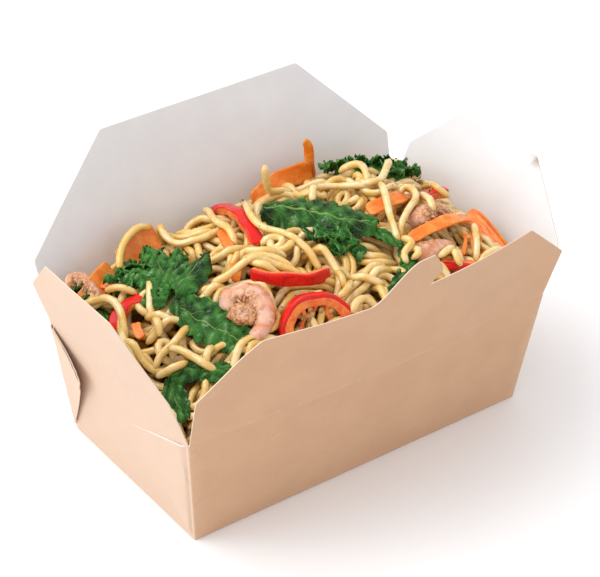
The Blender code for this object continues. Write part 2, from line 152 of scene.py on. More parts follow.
# Its ribs: direction in degrees, reach and bend; its seeds: direction, distance from the centre, and how
# far they stand forward
PEPPER_RIBS = ((118.0, 8.5, 0.9), (62.0, 7.5, -0.8), (88.0, 4.5, 0.2))
PEPPER_SEEDS = ((132.0, 9.0, 1.9), (104.0, 10.4, 2.1), (74.0, 9.2, 1.8), (48.0, 10.2, 1.6), (118.0, 6.2, 1.2))
# Each carrot piece: strips of route with how far each is raised, width, thickness and tilt at each end
CARROTS = {
    "carrot_back_left": (
        (((-64, 44, -1), (-58, 47, 1), (-51, 48, 1.2), (-44, 48, 0)), 14.0, 2.2, (0.8, 0.8)),),
    "carrot_far_left": (
        (((-90, 38.5, 1), (-84, 41, 1.5), (-78, 42.5, 1.5), (-70, 45, 1)), 10.0, 2.2, (0.6, 0.8)),),
    "carrot_left": (
        (((-78, 41.5, 2), (-75.5, 38, 1), (-72.5, 34.5, 0), (-69, 32, 0)), 5.0, 2.0, (0.4, 0.5)),),
    "carrot_left_low": ((((-81, 9.5, 0), (-82, 6, 0.5), (-83, 1, 0)), 4.4, 2.0, (0.2, 0.4)),),
    "carrot_back": (
        (((8, 47.5, -3), (16, 49.5, -1), (25, 50.5, 0.8), (34, 50.5, 1.2), (43, 50, 0.5)),
            10.5, 2.2, (0.9, 1.2)),),
    "carrot_middle": (
        (((38, 1, 1), (46, -0.5, 2.5), (54, 0, 3), (63, 4, 1)), 7.0, 2.0, (0.45, 0.3)),),
    "carrot_right": (
        (((42.5, -24.5, 2), (51, -24.5, 4.5), (60, -24, 5), (70, -22.5, 5), (82, -18, 3)),
            6.2, 2.0, (0.4, 0.3)),
        (((72, -22, 4.4), (78, -21, 4), (87, -19, 2)), 2.0, 1.4, (0.2, 0.5))),
    "carrot_end_a": (
        (((91, -9, 4), (92, -18, 4.5), (92, -27, 2.5), (91.5, -35, 0)), 3.6, 1.4, (0.9, 0.8)),
        (((90, -9, 3.6), (89.5, -18, 4), (89, -28, 2), (88, -37, 0)), 3.6, 1.4, (0.6, 0.5)),
        (((88.5, -10, 3.2), (87, -19, 3.5), (85.5, -28, 2), (84, -38, 0)), 3.4, 1.4, (0.3, 0.4)),
        (((87, -12, 2.8), (84.5, -20, 3.2), (82, -29, 2), (79.5, -39, 0)), 3.0, 1.4, (0.1, 0.3))),
    "carrot_end_b": (
        (((80, -25, 1.6), (77, -32, 2.2), (73, -41, 0)), 2.0, 1.5, (0.2, 0.6)),
        (((76, -25, 1.6), (72.5, -32, 2.4), (68, -40, 0)), 2.0, 1.5, (0.0, 0.5)),
        (((72, -27, 1.2), (68, -33, 2.0), (62.5, -38, 0)), 1.9, 1.5, (0.3, -0.2))),
    "carrot_centre": (
        (((-24, 27, 1), (-27.5, 18, 1.5), (-29.5, 10, 1.5), (-33, 2, 1), (-38.5, -5, -1)),
            5.2, 2.0, (-0.1, -0.3)),),
    "carrot_upright": (
        (((43.4, 51.0, 0), (43.0, 51.3, 9), (42.3, 51.6, 16), (40.8, 51.6, 19.6), (38.6, 51.2, 20.2)),
            4.6, 1.4, (0.0, 0.0)),),
}
# Each kale piece: blades (route, width, crown, tilt, frill at start and end, lift at start and end, rib
# offset), tufts (route, count, length, rise) and whether it is a smooth, glossy leaf
KALE = {
    "kale_cluster": ((
        (((-64, 6), (-64, 14), (-65, 23), (-68, 31), (-71, 37)),
            12.0, 2.5, 0.10, (0.5, 1.9), (3.4, 4.0), 0.0),
        (((-64, 7), (-61, 17), (-57, 28), (-54, 39)), 13.0, 3.0, 0.0, (0.6, 2.0), (4.2, 5.8), 0.0),
        (((-63, 8), (-57, 15), (-51, 22), (-46, 28)), 11.0, 2.5, 0.1, (0.5, 1.7), (4.2, 5.0), 0.0),
        (((-66, 6), (-70, 12), (-73, 18), (-75, 24)), 10.0, 2.0, 0.0, (0.4, 1.3), (2.0, 1.8), 0.0)),
        (((-74, 26), (-71, 36), (-62, 38), (-54, 38), (-60, 30), (-64, 24)), 30, 5.2, 6.5), False),
    "kale_lobe": ((
        (((-65, 4), (-58, 6), (-50, 8), (-43, 9)),
            16.0, 6.0, -0.15, (0.12, 0.12), (4.0, 3.5), 0.0),), (), True),
    "kale_long": ((
        (((-65, 3), (-62, -8), (-59, -18), (-56, -29), (-52, -40)),
            18.0, 3.0, 0.12, (0.1, 0.8), (3.4, 2.4), -0.25),),
        (), True),
    "kale_middle": ((
        (((-2, 26), (4, 20.5), (11, 13.5), (18, 5.5), (25, -3), (33, -13)),
            21.0, 6.0, 0.30, (1.1, 0.06), (0.8, 4.6), -0.1),
        (((31, -12), (34, -18), (37, -26)), 7.0, 1.5, 0.1, (0.3, 0.4), (4.0, 3.0), 0.0)),
        (((-1, 25.5), (4, 21)), 6, 5.0, 2.0), True),
    "kale_bunch": ((), (((8, -2), (12, -8), (15, -14), (17, -18)), 15, 7.0, 7.0), False),
    "kale_back": ((
        (((50, 42), (60, 40), (70, 37), (78, 33), (84, 29)), 12.0, 2.0, 0.30, (1.3, 1.3), (2.4, 2.6), 0.0),),
        (((47, 43), (58, 42), (69, 40), (79, 37), (88, 31), (82, 28), (72, 31)), 58, 5.2, 8.6), False),
    "kale_strip": ((
        (((37, -25), (35, -33), (29, -40), (20, -44), (8, -48)),
            9.0, 1.6, 0.10, (0.2, 0.4), (0.8, 0.6), 0.0),), (), True),
    "kale_low_left": ((
        (((-85, -24), (-88, -30), (-90, -37), (-91, -46)),
            10.0, 1.6, 0.0, (0.3, 0.5), (2.2, 1.4), 0.0),), (), True),
    "kale_low_middle": ((
        (((-86, -26), (-81, -28), (-76, -31), (-72, -35)),
            10.0, 3.0, 0.1, (0.2, 0.3), (2.6, 2.6), 0.0),), (), True),
    "kale_low_front": ((
        (((-79, -37), (-72, -38), (-64, -42)), 9.0, 1.6, 0.1, (0.2, 0.4), (2.4, 2.0), 0.0),), (), True),
    "kale_far_left": ((), (((-92, 50), (-91, 46), (-89, 41)), 6, 5.0, 9.0), False),
    "kale_left_edge": ((
        (((-91, 39), (-89, 31), (-87, 22)), 8.0, 1.6, 0.0, (0.2, 0.3), (2.5, 1.5), 0.0),), (), True),
}
# Strands that lie clear of the others: plan position and height over the heap
CLEAR_STRANDS = (
    ((-48, -1, 3), (-43, -4, 4), (-33, -5, 5), (-25, -9, 5), (-18, -16, 4), (-14, -21, 2)),
    ((-31, 1, 3), (-25, -2, 5), (-19, -9, 5), (-15, -17, 3)),
    ((-30, 3, 2), (-27, 5, 4), (-22, 0, 5), (-12, -6, 4)),
    ((-17, 5, 2), (-15, 6, 5), (-12, 5, 6), (-9, 1, 5), (-12, -1, 3), (-16, 1, 2)),
    ((0, 44, 4), (-10, 25, 5), (-12, 13, 5), (-7, 3, 5), (-3, -8, 5), (-2, -18, 3)),
    ((-14, 55, 3), (-21, 35, 4), (-22, 24, 4), (-24, 15, 2)),
    ((19, 17, 2), (25, 24, 3), (33, 26, 4), (40, 21, 4), (46, 15, 4), (54, 14, 3)),
    ((31, 30, 1), (37, 29, 3), (43, 29, 4), (47, 25, 2)),
    ((47, 34, 5), (50, 31, 9), (54, 27, 9), (52, 20, 7), (49, 15, 4)),
    ((70, 26, 12), (62, 19, 9), (55, 14, 6), (48, 14, 4), (46, 20, 3)),
    ((54, 13, 4), (47, -1, 6), (42, -11, 6), (38, -20, 5), (38, -23, 3)),
    ((59, 5, 4), (64, 6, 6), (64, 0, 7), (60, -6, 7), (51, -12, 6), (44, -16, 5), (41, -20, 3)),
    ((70, 5, 3), (65, -9, 7), (62, -16, 6), (63, -17, 3)),
    ((87, 21, 3), (85, 9, 5), (88, 3, 2)),
    ((39, -28, 2), (40, -33, 5), (39, -35, 4), (36, -34, 1)),
    ((40, -21, 2), (40, -26, 5), (39, -30, 5), (34, -31, 3), (33, -35, 2)),
    ((80, -24, 3), (71, -37, 5), (66, -43, 3)),
    ((59, -36, 4), (52, -39, 5), (48, -38, 3)),
    ((56, -38, 3), (54, -44, 5), (54, -47, 3)),
    ((3, -22, 4), (1, -30, 5), (0, -33, 3)),
    ((6, -30, 3), (-2, -37, 5), (-9, -40, 3)),
    ((-7, -48, 3), (-3, -45, 6), (3, -44, 7), (6, -47, 6), (7, -49, 3)),
    ((6, -27, 3), (11, -35, 5), (17, -39, 4)),
    ((-77, 7, 2), (-74, 1, 5), (-70, -5, 4)),
    ((-67, -11, 3), (-76, -15, 6), (-84, -15, 6), (-88, -17, 3)),
    ((-80, -14, 3), (-77, -22, 6), (-75, -33, 6), (-71, -38, 3)),
    ((-73, -34, 3), (-71, -31, 6), (-65, -27, 3)),
    ((-78, -27, 4), (-85, -26, 6), (-90, -21, 4)),
    ((-81, 33, 3), (-78, 25, 5), (-73, 20, 4)),
    ((-76, 2, 3), (-77, -3, 5), (-79, -7, 3)),
    ((-70, 38, 3), (-67, 43, 5), (-60, 48.5, 8), (-52, 51, 8), (-45, 51.5, 5)),
    ((8.6, 39.4, 21), (9.0, 39.0, 13), (9.8, 38.2, 6), (12, 37.4, 2.5), (16, 36.6, 2), (23, 37, 2)),
)


# ---------------------------------------------------------------- settings
def length_setting(label, about, value, low=0.0, high=1.0):
    return FloatProperty(name=label, description=about, default=value, min=low, max=high,
                         subtype="DISTANCE", unit="LENGTH", precision=4)


def colour_setting(label, about, value):
    return FloatVectorProperty(name=label, description=about, default=value, size=3,
                               min=0.0, max=1.0, subtype="COLOR")


def share_setting(label, about, value, low=0.0, high=1.0):
    return FloatProperty(name=label, description=about, default=value, min=low, max=high)


class BoxSettings(PropertyGroup):
    card: length_setting("Card", "Thickness of the card", 0.00045, 0.0002, 0.002)
    kraft: colour_setting("Kraft", "Outer face of the card", (0.60, 0.355, 0.205))
    kraft_dark: colour_setting("Kraft fibre", "Darker fibres in the outer face", (0.43, 0.235, 0.12))
    # Painted light: the left end of the card is lightened towards this tone, standing in for the strong light
    # from the left
    kraft_lit_end: colour_setting("Kraft lit end", "Paler tone painted on the left end of the card, where the strong light from the left falls",
                               (0.66, 0.56, 0.50))
    inside: colour_setting("Inside", "White coated inner face", (0.80, 0.785, 0.79))
    edge: colour_setting("Cut edge", "Cut edge of the card", (0.72, 0.55, 0.40))
    crease_bow: length_setting("Crease bow", "How far the full box pushes its front crease out", 0.0047,
                               0.0, 0.008)


class NoodleSettings(PropertyGroup):
    thickness: length_setting("Thickness", "Diameter of a noodle", 0.0035, 0.002, 0.006)
    strands: IntProperty(name="Bundles", description="Bundles of strands laid in the heap",
                         default=150, min=10, max=400)
    pale: colour_setting("Pale", "Lightest strands", (0.84, 0.65, 0.325))
    deep: colour_setting("Deep", "Darker strands and turns", (0.72, 0.42, 0.072))
    # Painted shade: the dark tone of the noodles seen deep between the strands
    core: colour_setting("Core", "Noodles seen between the strands", (0.36, 0.16, 0.026))


class ToppingSettings(PropertyGroup):
    kale_dark: colour_setting("Kale dark", "Face of a kale leaf", (0.004, 0.026, 0.006))
    kale_light: colour_setting("Kale light", "Frilled margins and thin places", (0.028, 0.145, 0.020))
    kale_vein: colour_setting("Kale vein", "Ribs and veins", (0.26, 0.42, 0.10))
    pepper_skin: colour_setting("Pepper skin", "Skin of the red pepper", (0.74, 0.018, 0.011))
    pepper_flesh: colour_setting("Pepper flesh", "Cut flesh of the red pepper", (0.88, 0.27, 0.06))
    carrot: colour_setting("Carrot", "Cut carrot", (0.80, 0.185, 0.014))
    carrot_pale: colour_setting("Carrot core", "Paler core and water marks", (0.88, 0.32, 0.05))
    prawn: colour_setting("Prawn flesh", "Cooked flesh", (0.78, 0.46, 0.33))
    prawn_band: colour_setting("Prawn bands", "Pink bands of the shell side", (0.70, 0.26, 0.12))


class StageSettings(PropertyGroup):
    floor: colour_setting("Floor", "Pale floor", (0.93, 0.93, 0.93))
    key: FloatProperty(name="Key light", description="Power of the large soft light", default=10.0,
                       min=0.0, unit="POWER")
    fill: share_setting("Sky", "Strength of the even light all round", 0.97, 0.0, 3.0)
    lens: FloatProperty(name="Lens", description="Focal length", default=138.4, min=20.0, max=400.0,
                        unit="CAMERA")


class NoodleBoxSettings(PropertyGroup):
    box: PointerProperty(type=BoxSettings)
    noodle: PointerProperty(type=NoodleSettings)
    topping: PointerProperty(type=ToppingSettings)
    stage: PointerProperty(type=StageSettings)


def settings():
    return bpy.context.scene.noodle_box


# ---------------------------------------------------------------- mesh helpers
def new_piece(name, points, faces, marks=None, rest=None):
    """A mesh object from millimetre points, with its resting place and other marks kept as attributes.

    The resting place, in centimetres, is where the finishes take their noise from.
    """
    points = np.asarray(points, float)
    mesh = bpy.data.meshes.new(name)
    mesh.from_pydata((points * MM).tolist(), [], faces)
    mesh.validate()
    store(mesh, "rest", np.asarray(points if rest is None else rest, float) / 10.0)
    for key, values in (marks or {}).items():
        store(mesh, key, values)
    mesh.polygons.foreach_set("use_smooth", [True] * len(mesh.polygons))
    piece = bpy.data.objects.new(name, mesh)
    bpy.context.scene.collection.objects.link(piece)
    return piece


def store(mesh, name, values):
    """A number or a vector for each point, kept on the mesh."""
    values = np.asarray(values, float)
    kind, slot_name = ("FLOAT", "value") if values.ndim == 1 else ("FLOAT_VECTOR", "vector")
    kept = mesh.attributes.new(name, kind, "POINT")
    kept.data.foreach_set(slot_name, values.astype(np.float32).ravel())


def face_up(piece):
    """Faces turned round where the first one looks down."""
    if piece.data.polygons[0].normal.z < 0.0:
        piece.data.flip_normals()


def settle_modifiers(piece):
    """The piece's modifiers become part of its mesh."""
    graph = bpy.context.evaluated_depsgraph_get()
    mesh = bpy.data.meshes.new_from_object(piece.evaluated_get(graph), preserve_all_data_layers=True,
                                           depsgraph=graph)
    old = piece.data
    piece.modifiers.clear()
    piece.data = mesh
    bpy.data.meshes.remove(old)
    mesh.name = piece.name


def give_thickness(piece, thickness, finishes):
    """Thickness behind the face. Of three finishes the back takes the second and the rim the third."""
    for item in finishes:
        piece.data.materials.append(item)
    sheet = piece.modifiers.new("thickness", "SOLIDIFY")
    sheet.thickness = thickness
    sheet.offset = -1.0
    sheet.use_even_offset = len(finishes) > 1
    if len(finishes) > 1:
        sheet.material_offset = 1
        sheet.material_offset_rim = 2
    settle_modifiers(piece)
    if len(finishes) > 1:
        piece.data.set_sharp_from_angle(angle=radians(40.0))


def dress(piece, body, nodes, slot, *materials):
    """Finishes, the body the piece rides on and the nodes it replaces. The slot is not used."""
    for item in materials:
        piece.data.materials.append(item)
    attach(piece, body)
    if nodes:
        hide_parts(*nodes)


def grid_faces(rows, columns, closed=False, start=0):
    """Quads of a grid stored row by row; closed joins the last column to the first."""
    faces = []
    wide = columns if closed else columns - 1
    for row in range(rows - 1):
        for column in range(wide):
            after = (column + 1) % columns
            a = start + row * columns
            faces.append((a + column, a + after, a + columns + after, a + columns + column))
    return faces


def grid_rim(rows, columns):
    """Indices round the outside of a grid."""
    return ([row * columns for row in range(rows)]
            + [(rows - 1) * columns + column for column in range(1, columns)]
            + [row * columns + columns - 1 for row in range(rows - 2, -1, -1)]
            + list(range(columns - 2, 0, -1)))


def band_faces(upper, lower):
    """Quads between two closed loops of indices."""
    next_upper, next_lower = upper[1:] + upper[:1], lower[1:] + lower[:1]
    return list(zip(upper, lower, next_lower, next_upper))


def tube_faces(rows, columns, start=0):
    """Quads round a tube whose rings are its rows, and its two ends."""
    faces = [face[::-1] for face in grid_faces(rows, columns, closed=True, start=start)]
    faces.append(tuple(range(start, start + columns)))
    faces.append(tuple(reversed(range(start + (rows - 1) * columns, start + rows * columns))))
    return faces


def smooth_line(points, step):
    """Evenly spaced points along a Catmull-Rom curve through the given ones."""
    points = np.asarray(points, float)
    ends = np.vstack((2 * points[0] - points[1], points, 2 * points[-1] - points[-2]))
    fine = []
    for index in range(1, len(ends) - 2):
        p0, p1, p2, p3 = ends[index - 1:index + 3]
        t = np.linspace(0.0, 1.0, 10, endpoint=False)[:, None]
        fine.append(0.5 * (2 * p1 + (p2 - p0) * t + (2 * p0 - 5 * p1 + 4 * p2 - p3) * t ** 2
                           + (3 * p1 - p0 - 3 * p2 + p3) * t ** 3))
    fine = np.vstack(fine + [ends[-2:-1]])
    gone = np.concatenate(([0.0], np.cumsum(np.linalg.norm(np.diff(fine, axis=0), axis=1))))
    count = max(3, int(round(gone[-1] / step)) + 1)
    where = np.linspace(0.0, gone[-1], count)
    return np.stack([np.interp(where, gone, fine[:, axis]) for axis in range(fine.shape[1])], axis=1)


def unit(rows):
    return rows / np.maximum(1e-9, np.linalg.norm(rows, axis=-1, keepdims=True))


def frames_level(line):
    """Tangent, level sideways direction and upward direction at each point of a line."""
    ahead = unit(np.gradient(line, axis=0))
    side = unit(np.stack((-ahead[:, 1], ahead[:, 0], np.zeros(len(line))), axis=1))
    return ahead, side, np.cross(ahead, side)


def sweep(line, section, frames=None):
    """Points, faces and shares along and around of a section carried along a line.

    section(t) gives rows of (across, up) at the share t of the line.
    """
    side, up = frames if frames is not None else frames_level(line)[1:]
    count = len(line)
    rings = []
    for index in range(count):
        shape = np.asarray(section(index / (count - 1)), float)
        rings.append(line[index] + shape[:, :1] * side[index] + shape[:, 1:2] * up[index])
    wide = len(rings[0])
    along = np.repeat(np.linspace(0.0, 1.0, count), wide)
    around = np.tile(np.arange(wide) / wide, count)
    return np.vstack(rings), tube_faces(count, wide), along, around


def boxy(count, power=0.45):
    """A unit section between an oval and a box."""
    angles = 2.0 * pi * (np.arange(count) + 0.5) / count
    c, s = np.cos(angles), np.sin(angles)
    return np.column_stack((np.sign(c) * np.abs(c) ** power, np.sign(s) * np.abs(s) ** power))


def noise_at(points, size):
    """Smooth noise at each point, in lumps of about the size."""
    return np.array([noise.noise(Vector(point) / size) for point in points])


def join_parts(parts):
    """Several lists of points, faces and marks as one."""
    faces = []
    base = 0
    for part in parts:
        faces.extend(tuple(index + base for index in face) for face in part[1])
        base += len(part[0])
    points, _, *marks = zip(*parts)
    return np.vstack(points), faces, *(np.concatenate(values) for values in marks)


# ---------------------------------------------------------------- shader helpers
def plug(tree, socket, value):
    """A socket linked to another one, or set to a plain value or an opaque colour."""
    if isinstance(value, bpy.types.NodeSocket):
        tree.links.new(value, socket)
    elif socket.type == "RGBA":
        socket.default_value = (*value[:3], 1.0)
    else:
        socket.default_value = value


def add(tree, kind, sockets=None, **choices):
    """A shader node with its choices set and its sockets filled."""
    node = tree.nodes.new("ShaderNode" + kind)
    for key, value in choices.items():
        setattr(node, key, value)
    for key, value in (sockets or {}).items():
        plug(tree, node.inputs[key], value)
    return node


def mix(tree, share, first, second):
    # sockets 0, 6 and 7 are the share and the two colours, and output 2 is the mixed colour
    return add(tree, "Mix", {0: share, 6: first, 7: second}, data_type="RGBA").outputs[2]


def calc(tree, operation, *values, clamp=False):
    return add(tree, "Math", dict(enumerate(values)), operation=operation, use_clamp=clamp).outputs[0]


def times(tree, first, second, clamp=False):
    return calc(tree, "MULTIPLY", first, second, clamp=clamp)


def tint(tree, colour, mask, share, tone):
    """The colour with the tone over it where the mask is, as strongly as the share says."""
    return mix(tree, times(tree, mask, share), colour, tone)


def ramp(tree, value, low, high):
    """0 below low, 1 above high, and soft at both ends."""
    return add(tree, "MapRange", {"Value": value, "From Min": low, "From Max": high},
               interpolation_type="SMOOTHSTEP").outputs["Result"]


def noisy(tree, vector, scale, detail=3.0, rough=0.55, distort=0.0):
    return add(tree, "TexNoise", {"Vector": vector, "Scale": scale, "Detail": detail,
                                  "Roughness": rough, "Distortion": distort}).outputs["Fac"]


def mark(tree, name, output="Vector"):
    """A value kept on the mesh."""
    return add(tree, "Attribute", attribute_name=name, attribute_type="GEOMETRY").outputs[output]


def stretched(tree, vector, scale, turn=(0.0, 0.0, 0.0)):
    return add(tree, "Mapping", {"Vector": vector, "Scale": scale, "Rotation": turn}).outputs["Vector"]


def new_group(name, inputs, outputs):
    """An empty node group: its tree, its inputs and its outputs, from their names in one string each.

    Place and Leaf are vectors, names ending in Color are colours and the others are numbers.
    """
    tree = bpy.data.node_groups.new(name, "ShaderNodeTree")
    for way, labels in (("INPUT", inputs), ("OUTPUT", outputs)):
        for label in labels.split():
            kind = "Vector" if label in ("Place", "Leaf") else "Color" if label.endswith("Color") else "Float"
            tree.interface.new_socket(label, in_out=way, socket_type="NodeSocket" + kind)
    return tree, tree.nodes.new("NodeGroupInput").outputs, tree.nodes.new("NodeGroupOutput").inputs


def use(tree, group, **values):
    """The named group placed in a material, with its sockets filled."""
    node = add(tree, "Group", node_tree=bpy.data.node_groups[group])
    for key, value in values.items():
        plug(tree, node.inputs[key], value)
    return node.outputs


def new_material(name, **plain):
    """A material with plain values on its shader's sockets; _ stands for a space in a socket's name."""
    item = bpy.data.materials.new(name)
    item.use_nodes = True
    shader = item.node_tree.nodes["Principled BSDF"]
    for key, value in plain.items():
        shader.inputs[key.replace("_", " ")].default_value = value
    return item, item.node_tree, shader


def food_material(name, first, second, size, contrast, shift=0.0, **plain):
    """A material that starts from two mottled colours of food."""
    item, tree, shader = new_material(name, **plain)
    place = mark(tree, "rest")
    food = use(tree, "Food mottle", Place=place, FirstColor=first, SecondColor=second, Size=size,
               Shift=shift, Contrast=contrast)
    return item, tree, shader, place, food


def wet_film(tree, place, size, wet, dry):
    """Roughness of a face that is wet in patches."""
    return use(tree, "Wet film", Place=place, Size=size, Wet=wet, Dry=dry)["Roughness"]


def shared(name, build, *look):
    """The finish of that name, made when it is first asked for."""
    found = bpy.data.materials.get(name)
    return found if found else build(name, *look)


def finish_material(tree, shader, colour, roughness, height, bump, distance):
    """Colour, roughness and fine relief joined to the shader; distance is in metres."""
    tree.links.new(colour, shader.inputs["Base Color"])
    tree.links.new(roughness, shader.inputs["Roughness"])
    relief = add(tree, "Bump", {"Strength": bump, "Distance": distance, "Height": height})
    tree.links.new(relief.outputs["Normal"], shader.inputs["Normal"])


# ---------------------------------------------------------------- shared effects
def make_effects():
    """Node groups that more than one finish uses."""
    tree, given, out = new_group(
        "Card fibre", "Place FaceColor FibreColor Mottle Strands Specks", "Color Roughness Height")
    place = given["Place"]
    cloud = noisy(tree, place, 0.55, 4.0, 0.6)
    blotch = ramp(tree, cloud, 0.36, 0.66)
    pulp = noisy(tree, stretched(tree, place, (9.0, 22.0, 26.0)), 1.0, 3.0, 0.65, 0.6)
    pulp_b = noisy(tree, stretched(tree, place, (24.0, 9.0, 9.0), (0.4, 0.2, 0.5)), 1.0, 3.0, 0.6, 0.8)
    strand = calc(tree, "MAXIMUM", ramp(tree, pulp, 0.58, 0.74), ramp(tree, pulp_b, 0.60, 0.76))
    fleck = ramp(tree, noisy(tree, place, 11.0, 2.0, 0.5), 0.69, 0.76)
    tone = tint(tree, given["FaceColor"], blotch, given["Mottle"], given["FibreColor"])
    tone = tint(tree, tone, strand, given["Strands"], given["FibreColor"])
    tone = tint(tree, tone, fleck, given["Specks"], (0.17, 0.09, 0.045))
    tree.links.new(tone, out["Color"])
    tree.links.new(calc(tree, "MULTIPLY_ADD", pulp, 0.22, 0.66), out["Roughness"])
    tree.links.new(calc(tree, "ADD", times(tree, pulp, 0.6), pulp_b), out["Height"])

    tree, given, out = new_group("Edge wear", "Color WornColor Place Fold Amount", "Color")
    rub = ramp(tree, noisy(tree, given["Place"], 3.2, 4.0, 0.6), 0.34, 0.66)
    mask = times(tree, calc(tree, "POWER", given["Fold"], 1.4), given["Amount"], clamp=True)
    mask = times(tree, mask, calc(tree, "MULTIPLY_ADD", rub, 0.7, 0.3), clamp=True)
    tree.links.new(mix(tree, mask, given["Color"], given["WornColor"]), out["Color"])

    tree, given, out = new_group(
        "Food mottle", "Place FirstColor SecondColor Size Shift Contrast", "Color Height")
    broad = noisy(tree, given["Place"], given["Size"], 3.0, 0.55, 0.4)
    fine = noisy(tree, given["Place"], times(tree, given["Size"], 5.5), 3.0, 0.6)
    centre = calc(tree, "SUBTRACT", 0.5, given["Shift"])
    low = calc(tree, "SUBTRACT", centre, given["Contrast"])
    high = calc(tree, "ADD", centre, given["Contrast"])
    tone = mix(tree, ramp(tree, broad, low, high), given["FirstColor"], given["SecondColor"])
    tree.links.new(tone, out["Color"])
    tree.links.new(calc(tree, "ADD", times(tree, broad, 0.6), times(tree, fine, 0.4)), out["Height"])

    tree, given, out = new_group("Wet film", "Place Size Wet Dry", "Roughness")
    share = ramp(tree, noisy(tree, given["Place"], given["Size"], 3.0, 0.55, 0.3), 0.38, 0.64)
    span = calc(tree, "SUBTRACT", given["Dry"], given["Wet"])
    tree.links.new(calc(tree, "MULTIPLY_ADD", share, span, given["Wet"]), out["Roughness"])

    tree, given, out = new_group("Leaf veins", "Leaf Place Rib Branches Slant Width", "Mask Height")
    bend = add(tree, "TexNoise", {"Vector": given["Place"], "Scale": 1.4, "Detail": 2.0}).outputs["Color"]
    bend = add(tree, "VectorMath", {0: bend, 1: (0.5, 0.5, 0.5)}, operation="SUBTRACT").outputs[0]
    split = add(tree, "SeparateXYZ", {0: given["Leaf"]}).outputs
    wander = add(tree, "SeparateXYZ", {0: bend}).outputs
    across = calc(tree, "ADD", split[0], times(tree, wander[0], 0.12))
    along = calc(tree, "ADD", split[1], times(tree, wander[1], 0.10))
    away = calc(tree, "ABSOLUTE", across)
    rib = calc(tree, "SUBTRACT", 1.0, ramp(tree, away, times(tree, given["Rib"], 0.4), given["Rib"]))
    wave = calc(tree, "SUBTRACT", times(tree, along, given["Branches"]), times(tree, away, given["Slant"]))
    near = calc(tree, "ABSOLUTE", calc(tree, "SUBTRACT", calc(tree, "FRACT", wave), 0.5))
    thin = times(tree, given["Width"], calc(tree, "SUBTRACT", 1.15, away))
    branch = calc(tree, "SUBTRACT", 1.0, ramp(tree, near, times(tree, thin, 0.3), thin))
    net = add(tree, "TexVoronoi", {"Vector": given["Place"], "Scale": 5.5}, feature="DISTANCE_TO_EDGE")
    web = calc(tree, "SUBTRACT", 1.0, ramp(tree, net.outputs["Distance"], 0.0, 0.09))
    mask = calc(tree, "MAXIMUM", rib, times(tree, branch, 0.75))
    mask = calc(tree, "MAXIMUM", mask, times(tree, web, 0.22))
    tree.links.new(mask, out["Mask"])
    height = calc(tree, "SUBTRACT", noisy(tree, given["Place"], 6.0), times(tree, mask, 0.55))
    tree.links.new(height, out["Height"])


# ---------------------------------------------------------------- finishes
def card_finish(name, face, fibre, mottle, strands, specks, worn, amount, bump):
    item, tree, shader = new_material(name, Specular_IOR_Level=0.5, Sheen_Weight=0.12, Sheen_Roughness=0.5)
    place = mark(tree, "rest")
    card = use(tree, "Card fibre", Place=place, FaceColor=face, FibreColor=fibre, Mottle=mottle,
               Strands=strands, Specks=specks)
    colour = card["Color"]
    # Painted light: where the pale mark is, the kraft is lightened, standing in for the strong light on the
    # left end
    if name == "kraft_face":
        colour = tint(tree, colour, mark(tree, "pale", "Fac"), 0.34, settings().box.kraft_lit_end)
    wear = use(tree, "Edge wear", Color=colour, WornColor=worn, Place=place,
               Fold=mark(tree, "fold", "Fac"), Amount=amount)
    colour = tint(tree, wear["Color"], mark(tree, "scuff", "Fac"), 0.9, (0.24, 0.13, 0.08))
    finish_material(tree, shader, colour, card["Roughness"], card["Height"], bump, 0.00025)
    return item


def card_finishes():
    """Kraft outside, white inside and the cut edge."""
    box = settings().box
    # name, face, fibre, shares of mottle, strands and specks, worn colour, its amount and the relief
    looks = (
        ("kraft_face", box.kraft, box.kraft_dark, 0.16, 0.22, 0.5, (0.72, 0.50, 0.34), 0.35, 0.25),
        ("white_face", box.inside, (0.66, 0.63, 0.63), 0.22, 0.16, 0.06, (0.86, 0.84, 0.83), 0.3, 0.15),
        ("cut_edge", box.edge, (0.70, 0.52, 0.36), 0.3, 0.5, 0.2, (0.80, 0.68, 0.55), 0.3, 0.3),
    )
    return [shared(name, card_finish, *look) for name, *look in looks]


def noodle_finish(name):
    noodle = settings().noodle
    item, tree, shader, place, food = food_material(
        name, noodle.pale, noodle.deep, 1.3, 0.20, -0.03, Subsurface_Weight=0.15, Subsurface_Scale=0.003,
        Subsurface_Radius=(1.0, 0.55, 0.22), Specular_IOR_Level=0.5, Coat_Weight=0.6, Coat_Roughness=0.09)
    colour = tint(tree, food["Color"], mark(tree, "tint", "Fac"), 0.85, noodle.deep)
    # Painted shade: the undersides of the strands are darkened towards the deep colour
    under = calc(tree, "SUBTRACT", 1.0, ramp(tree, mark(tree, "upper", "Fac"), -0.55, 0.55))
    colour = tint(tree, colour, under, 0.72, noodle.deep)
    # Painted shade: strands deep in the heap and close to the walls are darkened towards the core colour
    depth_shade = ramp(tree, mark(tree, "depth_shade", "Fac"), 0.0, 1.0)
    colour = tint(tree, colour, depth_shade, 0.9, noodle.core)
    # Painted highlight: pale cream streaks over the strands
    streak = ramp(tree, noisy(tree, place, 3.1, 2.0, 0.5), 0.56, 0.70)
    colour = tint(tree, colour, streak, 0.30, (0.86, 0.78, 0.55))
    spot = ramp(tree, noisy(tree, place, 9.0, 2.0), 0.70, 0.76)
    colour = tint(tree, colour, spot, 0.2, (0.40, 0.20, 0.06))
    wet = wet_film(tree, place, 5.0, 0.14, 0.34)
    finish_material(tree, shader, colour, wet, food["Height"], 0.12, 0.0004)
    return item


def crumb_finish(name, first, second, size, contrast, film_size, bump, distance):
    """The finish of small or hidden food: two mottled colours with little shine."""
    item, tree, shader, place, food = food_material(name, first, second, size, contrast,
                                                    Specular_IOR_Level=0.4)
    wet = wet_film(tree, place, film_size, 0.3, 0.6)
    finish_material(tree, shader, food["Color"], wet, food["Height"], bump, distance)
    return item


